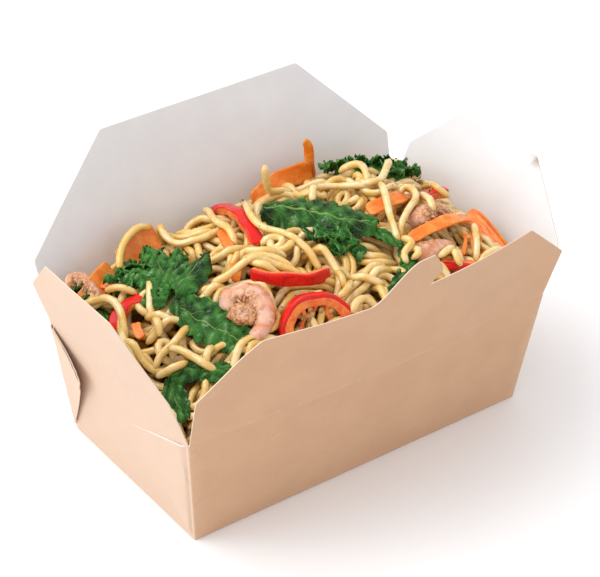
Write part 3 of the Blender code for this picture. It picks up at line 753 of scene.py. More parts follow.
def kale_finish(name, light_share, vein_share, rib, branches, slant, gloss):
    topping = settings().topping
    item, tree, shader, place, food = food_material(
        name, topping.kale_dark, topping.kale_light, 0.8, 0.15, light_share,
        Specular_IOR_Level=0.13, Coat_Roughness=0.06)
    veins = use(tree, "Leaf veins", Leaf=mark(tree, "leaf"), Place=place, Rib=rib, Branches=branches,
                Slant=slant, Width=0.055)
    frill = ramp(tree, mark(tree, "frill", "Fac"), 0.30, 0.95)
    ragged = ramp(tree, noisy(tree, place, 4.0, 3.0), 0.38, 0.62)
    fringe = mix(tree, ragged, topping.kale_dark, (0.15, 0.34, 0.045))
    relief = mark(tree, "relief", "Fac")
    colour = tint(tree, food["Color"], frill, 0.75, fringe)
    # Painted light and shade: ridges of the relief are lightened and its hollows darkened almost to black
    colour = tint(tree, colour, ramp(tree, relief, 0.45, 0.90), 0.85, (0.075, 0.245, 0.040))
    low = calc(tree, "SUBTRACT", 1.0, ramp(tree, relief, 0.05, 0.56))
    colour = tint(tree, colour, low, 0.9, (0.002, 0.013, 0.003))
    colour = mix(tree, times(tree, veins["Mask"], vein_share, clamp=True), colour, topping.kale_vein)
    wet = wet_film(tree, place, 5.0, 0.22, 0.55)
    pool = ramp(tree, noisy(tree, place, 2.6, 3.0, 0.6, 0.8), 0.62, 0.67)
    film = times(tree, calc(tree, "MAXIMUM", pool, ramp(tree, relief, 0.62, 0.85)), gloss)
    tree.links.new(film, shader.inputs["Coat Weight"])
    height = calc(tree, "ADD", veins["Height"], times(tree, food["Height"], 0.5))
    finish_material(tree, shader, colour, wet, height, 0.8, 0.0011)
    return item


def pepper_finish(name, first, second, grain_tone, wet_low, wet_high, coat, bump):
    item, tree, shader, place, food = food_material(
        name, first, second, 2.0, 0.18, Specular_IOR_Level=0.22, Subsurface_Weight=0.06,
        Subsurface_Scale=0.002, Subsurface_Radius=(1.0, 0.25, 0.1), Coat_Roughness=0.05)
    grain = noisy(tree, stretched(tree, place, (14.0, 14.0, 5.0)), 1.0, 3.0)
    colour = tint(tree, food["Color"], ramp(tree, grain, 0.52, 0.74), 0.45, grain_tone)
    wet = wet_film(tree, place, 3.5, wet_low, wet_high)
    pool = ramp(tree, noisy(tree, place, 2.0, 2.0, 0.5, 0.4), 0.50, 0.62)
    tree.links.new(times(tree, pool, coat), shader.inputs["Coat Weight"])
    finish_material(tree, shader, colour, wet, food["Height"], bump, 0.0004)
    return item


def pepper_finishes():
    """Skin, cut flesh and seed."""
    topping = settings().topping
    # name, two colours, tone of the grain, roughness where wet and where dry, shine and relief
    looks = (
        ("pepper_skin", topping.pepper_skin, (0.56, 0.008, 0.007), (0.80, 0.06, 0.02),
         0.10, 0.26, 0.45, 0.12),
        ("pepper_flesh", topping.pepper_flesh, (0.78, 0.10, 0.025), (0.92, 0.48, 0.20),
         0.22, 0.42, 0.15, 0.45),
        ("pepper_seed", (0.62, 0.36, 0.12), (0.30, 0.12, 0.03), (0.70, 0.48, 0.22),
         0.3, 0.5, 0.1, 0.3),
    )
    return [shared(name, pepper_finish, *look) for name, *look in looks]


def carrot_finish(name):
    topping = settings().topping
    item, tree, shader, place, food = food_material(
        name, topping.carrot, topping.carrot_pale, 1.5, 0.12, -0.06, Subsurface_Weight=0.12,
        Subsurface_Scale=0.0025, Subsurface_Radius=(1.0, 0.4, 0.12), Specular_IOR_Level=0.35,
        Coat_Weight=0.12, Coat_Roughness=0.12)
    streak = noisy(tree, stretched(tree, mark(tree, "strip"), (0.9, 9.0, 9.0)), 1.0, 3.0, 0.6)
    colour = tint(tree, food["Color"], ramp(tree, streak, 0.52, 0.72), 0.55, topping.carrot_pale)
    dark = calc(tree, "SUBTRACT", 1.0, ramp(tree, streak, 0.28, 0.44))
    colour = tint(tree, colour, dark, 0.45, (0.62, 0.095, 0.008))
    finish_material(tree, shader, colour, wet_film(tree, place, 4.0, 0.2, 0.45), streak, 0.4, 0.0004)
    return item


def prawn_finish(name):
    topping = settings().topping
    item, tree, shader, place, food = food_material(
        name, topping.prawn, topping.prawn_band, 2.0, 0.13, -0.05, Subsurface_Weight=0.15,
        Subsurface_Scale=0.003, Subsurface_Radius=(1.0, 0.45, 0.28), Specular_IOR_Level=0.4,
        Coat_Weight=0.25, Coat_Roughness=0.12)
    band = ramp(tree, mark(tree, "band", "Fac"), 0.15, 0.95)
    ragged = ramp(tree, noisy(tree, place, 6.0, 4.0, 0.65), 0.34, 0.62)
    colour = tint(tree, food["Color"], band, ragged, topping.prawn_band)
    spice = mark(tree, "spice", "Fac")
    crumb = noisy(tree, place, 8.0, 4.0, 0.7)
    brown = mix(tree, ramp(tree, crumb, 0.44, 0.60), (0.26, 0.09, 0.025), (0.78, 0.38, 0.15))
    patch = ramp(tree, noisy(tree, place, 4.0, 4.0, 0.65), 0.30, 0.50)
    colour = tint(tree, colour, spice, patch, brown)
    sear = ramp(tree, noisy(tree, place, 5.0, 4.0, 0.7), 0.62, 0.72)
    colour = tint(tree, colour, sear, 0.75, (0.30, 0.10, 0.03))
    height = calc(tree, "ADD", crumb, noisy(tree, place, 13.0, 3.0))
    finish_material(tree, shader, colour, wet_film(tree, place, 4.5, 0.18, 0.42), height, 0.45, 0.0006)
    return item


# ---------------------------------------------------------------- card tray
def wall_x(z):
    """How far the end walls lie from the middle at height z."""
    return (BASE[0] + (CREASE[0] - BASE[0]) * z / CREASE_HEIGHT) / 2.0


def wall_y(z):
    """How far the long walls lie from the middle at height z."""
    return (BASE[1] + (CREASE[1] - BASE[1]) * z / CREASE_HEIGHT) / 2.0


def crease_push(x):
    """How far the front crease is bowed out at x."""
    return settings().box.crease_bow / MM * max(0.0, 1.0 - (x / (BASE[0] / 2.0)) ** 2) ** 1.2


def front_push(x, up):
    """How far the front flap is bowed out, at x and at a height above the crease."""
    full = FRONT_BOW * max(0.0, 1.0 - (x / FRONT_BOW_HALF) ** 2) ** 1.2
    share = min(1.15, max(0.0, up / FRONT_BOW_RISE))
    low = crease_push(x)
    if full > low:
        return low + (full - low) * share
    return low * (1.0 - min(1.0, share)) + full * min(1.0, share)


def tray_ring(z, corner, inset=0.0):
    """Points round the tray at height z, with rounded corners and walls swollen by the food.

    Each point has x, y, and 1 where it belongs to a corner.
    """
    half_x, half_y = wall_x(z) - inset, wall_y(z) - inset
    belly = sin(pi * min(1.0, z / CREASE_HEIGHT)) ** 1.5 if 0.0 < z < CREASE_HEIGHT else 0.0
    lean_out = min(1.0, z / CREASE_HEIGHT) ** 0.9
    points = []

    def add_corner(angle, cx, cy):
        points.append((nx * cx + tx * cy + corner * cos(angle),
                       ny * cx + ty * cy + corner * sin(angle), 1.0))

    for nx, ny in ((1, 0), (0, 1), (-1, 0), (0, -1)):
        out, wide = (half_x, half_y) if ny == 0 else (half_y, half_x)
        turn = atan2(ny, nx)
        tx, ty = -ny, nx
        for step in range(4):
            add_corner(turn - pi / 4.0 + pi / 4.0 * step / 4.0, out - corner, -(wide - corner))
        spans = 22 if nx == 0 else 14
        for step in range(spans + 1):
            s = -1.0 + 2.0 * step / spans
            s = copysign(abs(s) ** 0.8, s)
            span = (wide - corner) * s
            push = 0.9 * belly * (1.0 - s * s)
            if (nx, ny) == (0, -1):
                push = 0.8 * belly * (1.0 - s * s) + crease_push(span) * lean_out
            points.append((nx * (out + push) + tx * span, ny * (out + push) + ty * span,
                           1.0 if abs(s) == 1.0 else 0.0))
        for step in range(1, 4):
            add_corner(turn + pi / 4.0 * step / 4.0, out - corner, wide - corner)
    return points


def dent(x, y, z):
    """Small creases and crumples of the handled card, as a push outwards in millimetres."""
    along = y + 49.0
    push = 0.0
    if x < -60.0:
        spot = ((along - 63.0) / 5.0) ** 2 + ((z - 37.5) / 3.5) ** 2
        push -= 0.55 * exp(-spot)
    if y < -40.0:
        spot = ((x + 84.0) / 5.0) ** 2 + ((z - 6.0 - 0.4 * (x + 84.0)) / 2.0) ** 2
        push -= 0.5 * exp(-spot)
        spot = ((x - 78.0) / 6.0) ** 2 + ((z - 7.0) / 2.5) ** 2
        push += 0.45 * exp(-spot)
    push += 0.22 * noise.noise(Vector((x / 22.0, y / 22.0, z / 16.0)))
    return push


def make_tray_shell():
    """The tray as one sheet, up to the strip of wall that is one sheet with the flaps."""
    down = hypot((CREASE[1] - BASE[1]) / 2.0, CREASE_HEIGHT)
    under_crease = CREASE_HEIGHT - (STRIP - 0.05) * CREASE_HEIGHT / down
    rings = []
    for inset, z in ((1.3, 0.0), (0.45, 0.15)):
        rings.append([(x, y, z, 1.0, 0.0) for x, y, _ in tray_ring(0.0, CORNER_RADIUS, inset)])
    for z in (*WALL_LEVELS, under_crease):
        ring = []
        for x, y, corner in tray_ring(z, CORNER_RADIUS):
            push = dent(x, y, z) * min(1.0, z / 8.0) * min(1.0, (CREASE_HEIGHT - z) / 8.0) * (1.0 - corner)
            # The pale mark is painted light on the left end wall, where the strong light from the left falls
            at_end = wall_x(z) - abs(x) < wall_y(z) - abs(y)
            pale = 1.0 if at_end and x < 0.0 else 0.0
            if abs(x) / wall_x(z) > abs(y) / wall_y(z):
                x += copysign(push, x)
            else:
                y += copysign(push, y)
            ring.append((x, y, z, max(corner, 1.0 - min(1.0, (z - 0.5) / 2.0)), pale))
        rings.append(ring)
    wide = len(rings[0])
    table = np.array(rings).reshape(-1, 5)
    faces = grid_faces(len(rings), wide, closed=True)
    # the base is one face
    faces.append(tuple(reversed(range(wide))))
    piece = new_piece("tray_shell", table[:, :3], faces, {"fold": table[:, 3], "pale": table[:, 4]})
    give_thickness(piece, settings().box.card, card_finishes())
    dress(piece, "tray", ("tray",), "kraft_card")
    return piece


def make_web(name, x_sign, y_sign, along, up, gape, crumple, pressed):
    """A corner's gusset folded flat against the end wall: two layers joined at the slanting fold."""
    head_z, foot_z = CREASE_HEIGHT - 1.7, 1.2
    head = Vector((x_sign * wall_x(head_z), y_sign * (wall_y(head_z) - 0.7), head_z))
    foot = Vector((x_sign * wall_x(foot_z), y_sign * (wall_y(foot_z) - 0.7), foot_z))
    tip = Vector((x_sign * wall_x(up), y_sign * (BASE[1] / 2.0 - along), up))
    edge = (head - foot).normalized()
    outward = edge.cross(tip - foot).normalized()
    if outward.x * x_sign < 0.0:
        outward.negate()
    swing = radians(gape)
    rows, half = 25, 17
    points, folds = [], []
    card = settings().box.card / MM
    reach = (tip - foot - edge * (tip - foot).dot(edge)).length
    single = pressed > 0.5
    columns = half if single else 2 * half
    for row in range(rows):
        v = row / (rows - 1)
        near = foot.lerp(head, v)
        far = foot.lerp(tip, v)
        for column in range(columns):
            outer = column < half
            u = column / (half - 1) if outer else (2 * half - 1 - column) / (half - 1)
            spot = near.lerp(far, u)
            hinge = (spot - foot - edge * (spot - foot).dot(edge)).length
            lift = hinge * tan(swing) * (0.35 + 0.65 * hinge / reach)
            worn = crumple * exp(-((spot - tip).length / 7.0) ** 2)
            rough = Vector((spot.x, spot.y, spot.z)) / 3.2
            lift += worn * (1.6 * noise.noise(rough) + 0.9)
            gap = (0.18 + 0.5 * crumple) * sin(pi * min(1.0, u * 0.9)) * v
            base = card * 1.35 if not outer else card * 2.35 + gap
            if u > 0.995 and not single:
                base = card * 1.85 + gap * 0.5
            ease = min(1.0, max(0.0, hinge - (0.0 if outer else 2.2)) / 2.0)
            flush = 2.1 * u ** 2.2 + gap / card if single else 1.32 * pressed * u ** 1.5
            base = (base - card * flush) * ease - 1.0 * (1.0 - ease)
            along_shift = worn * 0.9 * noise.noise(rough + Vector((9.0, 0.0, 0.0)))
            points.append(spot + outward * (lift * (1.0 if outer else 0.93) + base + 0.04)
                          + edge * along_shift)
            folds.append(1.0 if u > 0.93 else 0.0)
    faces = grid_faces(rows, columns)
    if x_sign * y_sign > 0:
        faces = [face[::-1] for face in faces]
    # The pale mark paints light on the gussets at the left end
    piece = new_piece(name, [tuple(point) for point in points], faces,
                      {"fold": folds, "pale": [1.0 if x_sign < 0 else 0.0] * len(points)})
    kraft, white, cut = card_finishes()
    give_thickness(piece, card * MM * (2.0 if single else 0.9), (kraft, white, white if single else cut))
    dress(piece, "tray", (), "kraft_card")
    return piece


# ---------------------------------------------------------------- lid flaps
def flap_outline(length, shoulder, top):
    """A flap that is the same at both ends, as points along and above its crease."""
    half = length / 2.0
    left = [(-half + FLAP_INSET, -STRIP), (-half + FLAP_INSET, 0.0),
            (-half + shoulder[0], shoulder[1]), (-half + top[0], top[1])]
    return left + [(-x, z) for x, z in reversed(left)]


def front_outline():
    """The front flap with its locking tab, as points along and above its crease."""
    half = CREASE[0] / 2.0
    shoulder, top = FRONT_OUTLINE
    points = [(-half + FLAP_INSET, -STRIP), (-half + FLAP_INSET, 0.0), (-half + shoulder[0], shoulder[1]),
              (-half + top[0], top[1])]
    for index in range(13):
        t = index / 12
        points.append((-half + TAB_START + (TAB_CREST - TAB_START) * t,
                       top[1] + (TAB_HIGH - top[1]) * t * t * (3.0 - 2.0 * t)))
    tab = smooth_line(TAB_POINTS[:4], 1.6)
    points += [(-half + x, z) for x, z in tab] + [(-half + TAB_POINTS[4][0], TAB_POINTS[4][1])]
    points += [(half - top[0], top[1]), (half - shoulder[0], shoulder[1]), (half - FLAP_INSET, 0.0),
               (half - FLAP_INSET, -STRIP)]
    return points


def soften(outline, radius):
    """Corners of an outline rounded a little, as a die cuts them."""
    points = []
    for index, point in enumerate(outline):
        here = Vector(point)
        before = Vector(outline[index - 1]) - here
        after = Vector(outline[(index + 1) % len(outline)]) - here
        if here.y <= 0.0 or min(before.length, after.length) < 3.0 * radius:
            points.append(here)
            continue
        start, end = here + before.normalized() * radius, here + after.normalized() * radius
        for step in range(4):
            t = step / 3
            points.append(start.lerp(here, t).lerp(here.lerp(end, t), t))
    return points


def inside(point, outline):
    """Whether the outline runs round the point."""
    x, z = point
    odd = False
    for index in range(len(outline)):
        (ax, az), (bx, bz) = outline[index - 1], outline[index]
        if (az > z) != (bz > z) and x < (bx - ax) * (z - az) / (bz - az) + ax:
            odd = not odd
    return odd


def edge_distance(point, outline):
    """How far the point lies from the outline."""
    best = 1e9
    for index in range(len(outline)):
        near = geometry.intersect_point_line(point, outline[index - 1], outline[index])
        t = min(1.0, max(0.0, near[1]))
        spot = Vector(outline[index - 1]).lerp(Vector(outline[index]), t)
        best = min(best, (Vector(point) - spot).length)
    return best


def flap_mesh(outline):
    """Flat points and triangles of a flap: along its outline, closer rows by the crease, a grid elsewhere."""
    outline = [Vector(point) for point in soften(outline, FLAP_CORNER)]
    ring = []
    for before, point in zip(outline[-1:] + outline, outline):
        cuts = max(1, int((point - before).length / FLAP_EDGE))
        ring += [before.lerp(point, cut / cuts) for cut in range(1, cuts + 1)]
    low_x = min(point.x for point in ring)
    high_x = max(point.x for point in ring)
    fill = []
    for z in (-0.75, 0.0, 0.8, 1.8, 4.0, 8.0, *(12.0 + FLAP_GRID * row for row in range(16))):
        for x in np.arange(low_x + 1.5, high_x - 1.0, FLAP_GRID):
            spot = (float(x), z)
            if inside(spot, ring) and (edge_distance(spot, ring) > (1.6 if z > 2.0 else 0.5)):
                fill.append(Vector(spot))
    loop = [(index, (index + 1) % len(ring)) for index in range(len(ring))]
    flat, _, faces, *_ = geometry.delaunay_2d_cdt(ring + fill, loop, [], 1, 1e-4)
    return flat, [tuple(face) for face in faces]


def make_flap(name, outline, lean, azimuth, hinge, wall_lean, shape, node):
    """One sheet from just under the crease to the flap's top."""
    flat, faces = flap_mesh(outline)
    place = Matrix.Translation(hinge) @ Matrix.Rotation(azimuth, 4, "Z")
    turn = Matrix.Rotation(lean, 3, "X")
    points, rest, folds = [], [], []
    for vert in flat:
        x, t = vert.x, vert.y
        if t >= 0.0:
            local = turn @ Vector((x, 0.0, t))
        else:
            local = Vector((x, -sin(wall_lean) * t, cos(wall_lean) * t))
        push_out, push_in = shape(x, t)
        local += Vector((0.0, -push_out, 0.0)) + turn @ Vector((0.0, push_in, 0.0))
        points.append(tuple(place @ local))
        rest.append((x + 40.0 * azimuth, 300.0, t))
        folds.append(max(0.0, 1.0 - abs(t) / 0.9))
    # The pale mark paints light on the left flap, where the strong light from the left falls
    pale = [1.0 if node == "flap_left" else 0.0] * len(points)
    scuff = [scuffed(vert.x, vert.y) if node == "flap_right" else 0.0 for vert in flat]
    piece = new_piece(name, points, faces, {"fold": folds, "pale": pale, "scuff": scuff}, rest)
    facing = piece.data.polygons[len(piece.data.polygons) // 2]
    if (facing.normal @ (place.to_3x3() @ Vector((0.0, -1.0, 0.0)))) < 0.0:
        piece.data.flip_normals()
    give_thickness(piece, settings().box.card, card_finishes())
    hinge = np.array(hinge) * MM
    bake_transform(piece)
    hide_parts(node)
    return piece


def scuffed(x, t):
    """How rubbed the card is at x and t, round the scuffed corner."""
    at_x, at_t, wide, tall = SCUFF
    return exp(-((x - at_x) / wide) ** 2 - ((t - at_t) / tall) ** 2)


# Each flap's shape: how far it is pushed outwards and inwards at x along the crease and t above it
def right_shape(x, t):
    push = 0.35 * noise.noise(Vector((x / 26.0, t / 22.0, 11.3)))
    return 0.0, push * min(1.0, max(0.0, t) / 12.0)


def left_shape(x, t):
    push = 0.35 * noise.noise(Vector((x / 24.0, t / 22.0, 3.1))) * min(1.0, max(0.0, t) / 12.0)
    mark_at = exp(-(((x - 22.0 - (t - 10.0) * 0.5) / 1.2) ** 2 + ((t - 10.0) / 3.0) ** 2))
    return 0.0, push + 0.35 * mark_at


def back_shape(x, t):
    push = 0.5 * noise.noise(Vector((x / 40.0, t / 30.0, 7.7))) * min(1.0, max(0.0, t) / 12.0)
    # the pressed line where the front tab locks
    slit = exp(-((t - 64.0) / 0.8) ** 2) * (1.0 if -4.0 < x < 22.0 else 0.0)
    return 0.0, push + 0.25 * slit


def front_shape(x, t):
    if t < 0.0:
        return crease_push(x) * (1.0 + t / CREASE_HEIGHT), 0.0
    push = 0.4 * noise.noise(Vector((x / 30.0, t / 24.0, 5.5))) * min(1.0, t / 12.0)
    return front_push(x, t), push


# ---------------------------------------------------------------- the heap
class Heap:
    """A bed of heights, one for each square millimetre, and what has been laid on it so far.

    low is the bed's first corner, shape its cells both ways, height(x, y) its outline, and hollow how
    far under its outline the bed starts.
    """

    def __init__(self, low, shape, height, hollow):
        self.low, self.shape = np.array(low), shape
        self.mound = np.array([[height(low[0] + i, low[1] + j) for j in range(shape[1])]
                               for i in range(shape[0])])
        self.top = self.mound - hollow
        self.roof = self.mound - 0.5
        self.covered = np.zeros(self.shape, bool)

    def cells(self, x, y):
        """Indices of the cells at x and y, kept off the bed's edge."""
        i = np.clip(np.rint(np.asarray(x) - self.low[0]).astype(int), 3, self.shape[0] - 4)
        j = np.clip(np.rint(np.asarray(y) - self.low[1]).astype(int), 3, self.shape[1] - 4)
        return i, j

    def at(self, field, x, y):
        return field[self.cells(x, y)]

    def disc(self, radius):
        """Cells under a ball of the radius, as steps both ways, and how far the ball reaches there."""
        reach = int(radius + 0.5)
        rows = [(a, b, sqrt(max(0.0, radius ** 2 - a * a - b * b)))
                for a in range(-reach, reach + 1) for b in range(-reach, reach + 1)
                if a * a + b * b <= radius ** 2]
        return np.array(rows)

    def support(self, x, y, radius):
        """Height of a strand's middle where it rests on what lies below it."""
        i, j = self.cells(x, y)
        disc = self.disc(radius)
        a, b = disc[:, 0].astype(int), disc[:, 1].astype(int)
        return (self.top[i[:, None] + a, j[:, None] + b] + disc[:, 2]).max(axis=1)

    def press(self, x, y, z, radius):
        """The strand becomes part of what the next ones rest on."""
        i, j = self.cells(x, y)
        disc = self.disc(radius)
        a, b = disc[:, 0].astype(int), disc[:, 1].astype(int)
        np.maximum.at(self.top, (i[:, None] + a, j[:, None] + b), z[:, None] + disc[:, 2])

    def lay(self, piece):
        """A topping: strands stay under it, and later ones may only cross its edge."""
        points = np.array([vert.co for vert in piece.data.vertices]) / MM
        i, j = self.cells(points[:, 0], points[:, 1])
        under = np.full(self.shape, 1e3)
        over = np.full(self.shape, -1e3)
        np.minimum.at(under, (i, j), points[:, 2])
        np.maximum.at(over, (i, j), points[:, 2])
        for _ in range(2):
            spread = over.copy()
            for a, b in ((1, 0), (-1, 0), (0, 1), (0, -1)):
                spread = np.maximum(spread, np.roll(over, (a, b), (0, 1)))
            over = spread
        held = over > 0.0
        self.covered |= held
        self.roof = np.where(under < 1e3, np.minimum(self.roof, under - 0.6), self.roof)
        return np.where(held, over, 0.0)


def heap_height(x, y):
    """Outline of the heap: a low dome that rises to the right and the back, with lumps."""
    u = min(1.0, abs(x) / HEAP_HALF[0])
    v = min(1.0, abs(y) / HEAP_HALF[1])
    dome = HEAP_DOME * (1.0 - u ** 3) * (1.0 - 0.55 * v ** 2.5)
    lump = noise.noise(Vector((x / LUMP_WIDTH, y / LUMP_WIDTH, 0.5)))
    return (HEAP_LOW + dome + HEAP_TILT[0] * x / HEAP_HALF[0] + HEAP_TILT[1] * y / HEAP_HALF[1]
            + LUMP_RISE * lump)


def make_core():
    """The mass of noodles under the loose strands, with their winding shapes as relief, coloured dark as
    painted shade deep between the strands.
    """
    wide, deep = 150, 90
    points = []
    for i in range(wide):
        for j in range(deep):
            x = -CORE_HALF[0] + 2.0 * CORE_HALF[0] * i / (wide - 1)
            y = -CORE_HALF[1] + 2.0 * CORE_HALF[1] * j / (deep - 1)
            warp_x = x + 6.0 * noise.noise(Vector((x / 18.0, y / 18.0, 2.0)))
            warp_y = y + 6.0 * noise.noise(Vector((x / 18.0, y / 18.0, 8.0)))
            wind = noise.noise(Vector((warp_x / 9.0, warp_y / 9.0, 4.0)))
            coil = sin(11.0 * wind + 0.10 * warp_x + 0.13 * warp_y)
            points.append((x, y, heap_height(x, y) - CORE_UNDER + 1.1 * coil))
    faces = grid_faces(wide, deep)
    rim = grid_rim(wide, deep)
    base = len(points)
    for level, scale in ((48.0, 0.978), (1.2, 0.925)):
        points += [(points[index][0] * scale, points[index][1] * (scale - 0.01), level) for index in rim]
    count = len(rim)
    loops = [rim, list(range(base, base + count)), list(range(base + count, base + 2 * count))]
    for upper, lower in zip(loops, loops[1:]):
        faces += band_faces(upper, lower)
    faces.append(tuple(reversed(loops[-1])))
    name = "noodle_core"
    piece = new_piece(name, points, faces)
    face_up(piece)
    # Painted shade: the core is coloured in the dark core tone and a darker brown, for the shade between the
    # strands
    dark = (0.16, 0.06, 0.012)
    dress(piece, "tray", (), "noodle",
          crumb_finish(name, settings().noodle.core, dark, 2.0, 0.2, 4.0, 0.6, 0.0012))
    return piece


def wandering_paths(rng, tries, start, steps, step):
    """Plan routes of strands: headings drift, and the sides of the box turn them back."""
    x = np.full(tries, start[0]) + rng.normal(0.0, 5.0, tries)
    y = np.full(tries, start[1]) + rng.normal(0.0, 5.0, tries)
    heading = rng.uniform(0.0, 2.0 * pi, tries)
    bend = rng.normal(0.0, 0.08, tries)
    paths = np.empty((tries, steps, 2))
    for index in range(steps):
        paths[:, index, 0], paths[:, index, 1] = x, y
        bend += rng.normal(0.0, 0.034, tries) - bend * 0.07
        bend = np.clip(bend, -0.21, 0.21)
        out = np.maximum(np.abs(x) - 84.0, 0.0) / 8.0 + np.maximum(np.abs(y) - 43.0, 0.0) / 7.0
        home = np.arctan2(-y * 1.6, -x)
        turn = (home - heading + pi) % (2.0 * pi) - pi
        heading = (heading + bend * step
                   + np.clip(out, 0.0, 1.5) * np.sign(turn) * np.minimum(np.abs(turn), 0.35))
        x = np.clip(x + step * np.cos(heading), -WANDER_HALF[0], WANDER_HALF[0])
        y = np.clip(y + step * np.sin(heading), -WANDER_HALF[1], WANDER_HALF[1])
    return paths


def relaxed(rest, sink, rounds=7):
    """A soft strand over its supports: it bridges small gaps and sags into larger ones."""
    z = rest.copy()
    for _ in range(rounds):
        middle = z.copy()
        middle[1:-1] = 0.5 * (z[:-2] + z[2:])
        middle[0], middle[-1] = z[1], z[-2]
        z = np.maximum(rest - sink, 0.35 * z + 0.65 * middle)
    return z


def lay_strand(heap, path, radius, dive=6.0, lifts=None):
    """The strand's middle line, resting on the heap; its ends slip in between the others."""
    x, y = path[:, 0], path[:, 1]
    z = relaxed(heap.support(x, y, radius), 0.45)
    if lifts is not None:
        z = np.maximum(z, np.array([heap_height(a, b) for a, b in zip(x, y)]) + lifts)
        z = relaxed(z, 0.6, 4)
    place = np.arange(len(z))
    near = np.minimum(place, place[::-1])
    if lifts is not None and lifts[0] > 9.0:
        # a strand that starts high stands free there, and only its other end slips in
        near = place[::-1]
    z = z - dive * np.clip(1.0 - near / 4.0, 0.0, 1.0) ** 1.5
    heap.press(x, y, z, radius * 0.96)
    return np.column_stack((x, y, z))


def strand_radius():
    return settings().noodle.thickness / MM / 2.0


def strand_lines(heap, covers):
    """Middle lines of every loose strand, from the lowest to the highest."""
    radius = strand_radius()
    rng = np.random.default_rng(41)
    lines = []

    def lay_bundles(count, spare, tries, longest, over):
        """Bundles start where the heap lacks most; over says that they lie among the toppings."""
        for _ in range(count):
            lack = heap.roof - heap.top
            lack = np.where(over & heap.covered, -6.0, lack)
            lack[:5], lack[-5:], lack[:, :6], lack[:, -6:] = -9.0, -9.0, -9.0, -9.0
            blurred = lack.copy()
            for _ in range(3):
                blurred = (blurred + np.roll(blurred, 2, 0) + np.roll(blurred, -2, 0)
                           + np.roll(blurred, 2, 1) + np.roll(blurred, -2, 1)) / 5.0
            order = np.argsort(blurred.ravel())[-60:]
            spot = order[rng.integers(0, len(order))]
            i, j = np.unravel_index(spot, heap.shape)
            start = (heap.low[0] + i, heap.low[1] + j)
            steps = int(rng.integers(14, longest))
            paths = wandering_paths(rng, tries, start, steps, STRAND_STEP)
            gain = lack[heap.cells(paths[..., 0], paths[..., 1])]
            score = np.clip(gain - 2.9, -7.0, spare).mean(axis=1)
            best = paths[int(np.argmax(score))]
            if score.max() < -0.4:
                continue
            ahead = unit(np.gradient(best, axis=0))
            side = np.stack((-ahead[:, 1], ahead[:, 0]), axis=1)
            strands = int(rng.integers(1, 5))
            for strand in range(strands):
                shift = (strand - (strands - 1) / 2.0) * radius * 2.04
                sway = rng.normal(0.0, 1.0, 4)
                t = np.linspace(0.0, 1.0, steps)
                turns = t * (1.0 + 0.4 * sway[1]) + sway[2]
                drift = shift + 1.1 * sway[0] * t + 0.9 * np.sin(2.0 * pi * turns)
                path = best + side * drift[:, None]
                first, last = rng.integers(0, 3), steps - rng.integers(0, 3)
                path = path[first:last]
                path[:, 0] = np.clip(path[:, 0], -BUNDLE_HALF[0], BUNDLE_HALF[0])
                path[:, 1] = np.clip(path[:, 1], -BUNDLE_HALF[1], BUNDLE_HALF[1])
                path = smooth_line(path, STRAND_STEP)
                here = heap.cells(path[:, 0], path[:, 1])
                clear = path[(path[:, 0] > CLEAR_CORNER[0]) & (path[:, 1] > CLEAR_CORNER[1])]
                crossed = over and len(clear) and heap.covered[heap.cells(clear[:, 0], clear[:, 1])].any()
                if crossed or (lack[here] > 2.0).mean() < 0.6 or (over and heap.covered[here].mean() > 0.10):
                    continue
                lines.append(lay_strand(heap, path, radius))

    bundles = settings().noodle.strands
    lay_bundles(bundles, 5.0, 28, 40, False)
    for cover in covers:
        heap.top = np.maximum(heap.top, cover)
    heap.roof = np.where(heap.covered, heap.mound - 9.0, heap.mound + 1.2)
    lay_bundles(bundles * 2 // 3, 4.0, 60, 26, True)
    for strand in CLEAR_STRANDS:
        path = smooth_line(strand, STRAND_STEP)
        lines.append(lay_strand(heap, path[:, :2], radius, 4.0, path[:, 2]))
    return lines


def side_lines():
    """Middle lines of the strands along the four walls, seen when a flap is folded down.

    Each side is a bed that lies on its side: s runs along the wall, z up, and heights point outwards.
    """
    radius = strand_radius()
    rng = np.random.default_rng(19)
    lines = []
    levels = np.concatenate((np.arange(58.0, SIDE_HIGH, 3.1), np.arange(59.5, SIDE_HIGH, 3.6)))
    for reach, wall, turned in zip(SIDE_REACH, reversed(WALL_HALF), (False, True)):
        for hand in (-1.0, 1.0):
            side = Heap((-reach - 6.0, 50.0), (int(2.0 * reach) + 12, 46),
                        lambda s, z: wall - 2.2 - 2.0 * radius, 0.0)
            for level in levels:
                start = -reach + rng.uniform(0.0, 9.0)
                while start < reach - 9.0:
                    length = min(rng.uniform(14.0, 46.0), reach - start)
                    s = np.arange(start, start + length, STRAND_STEP)
                    swing, wave = rng.uniform(0.8, 3.6), rng.uniform(15.0, 34.0)
                    z = level + swing * np.sin(2.0 * pi * (s / wave + rng.uniform(0.0, 1.0)))
                    z = z + rng.normal(0.0, 0.10) * (s - start)
                    plan = [(hand * wall, along) if turned else (along, hand * wall) for along in s]
                    roof = np.array([heap_height(x, y) for x, y in plan]) - radius - 0.6
                    start += length + rng.uniform(-3.0, 3.0)
                    if (z > roof).mean() > 0.4 or len(s) < 5:
                        continue
                    z = np.clip(z, SIDE_LOW, roof)
                    line = lay_strand(side, np.column_stack((s, z)), radius, 2.6)
                    out = hand * np.minimum(line[:, 2], wall)
                    lines.append(np.column_stack((out, s, z) if turned else (s, out, z)))
    return lines


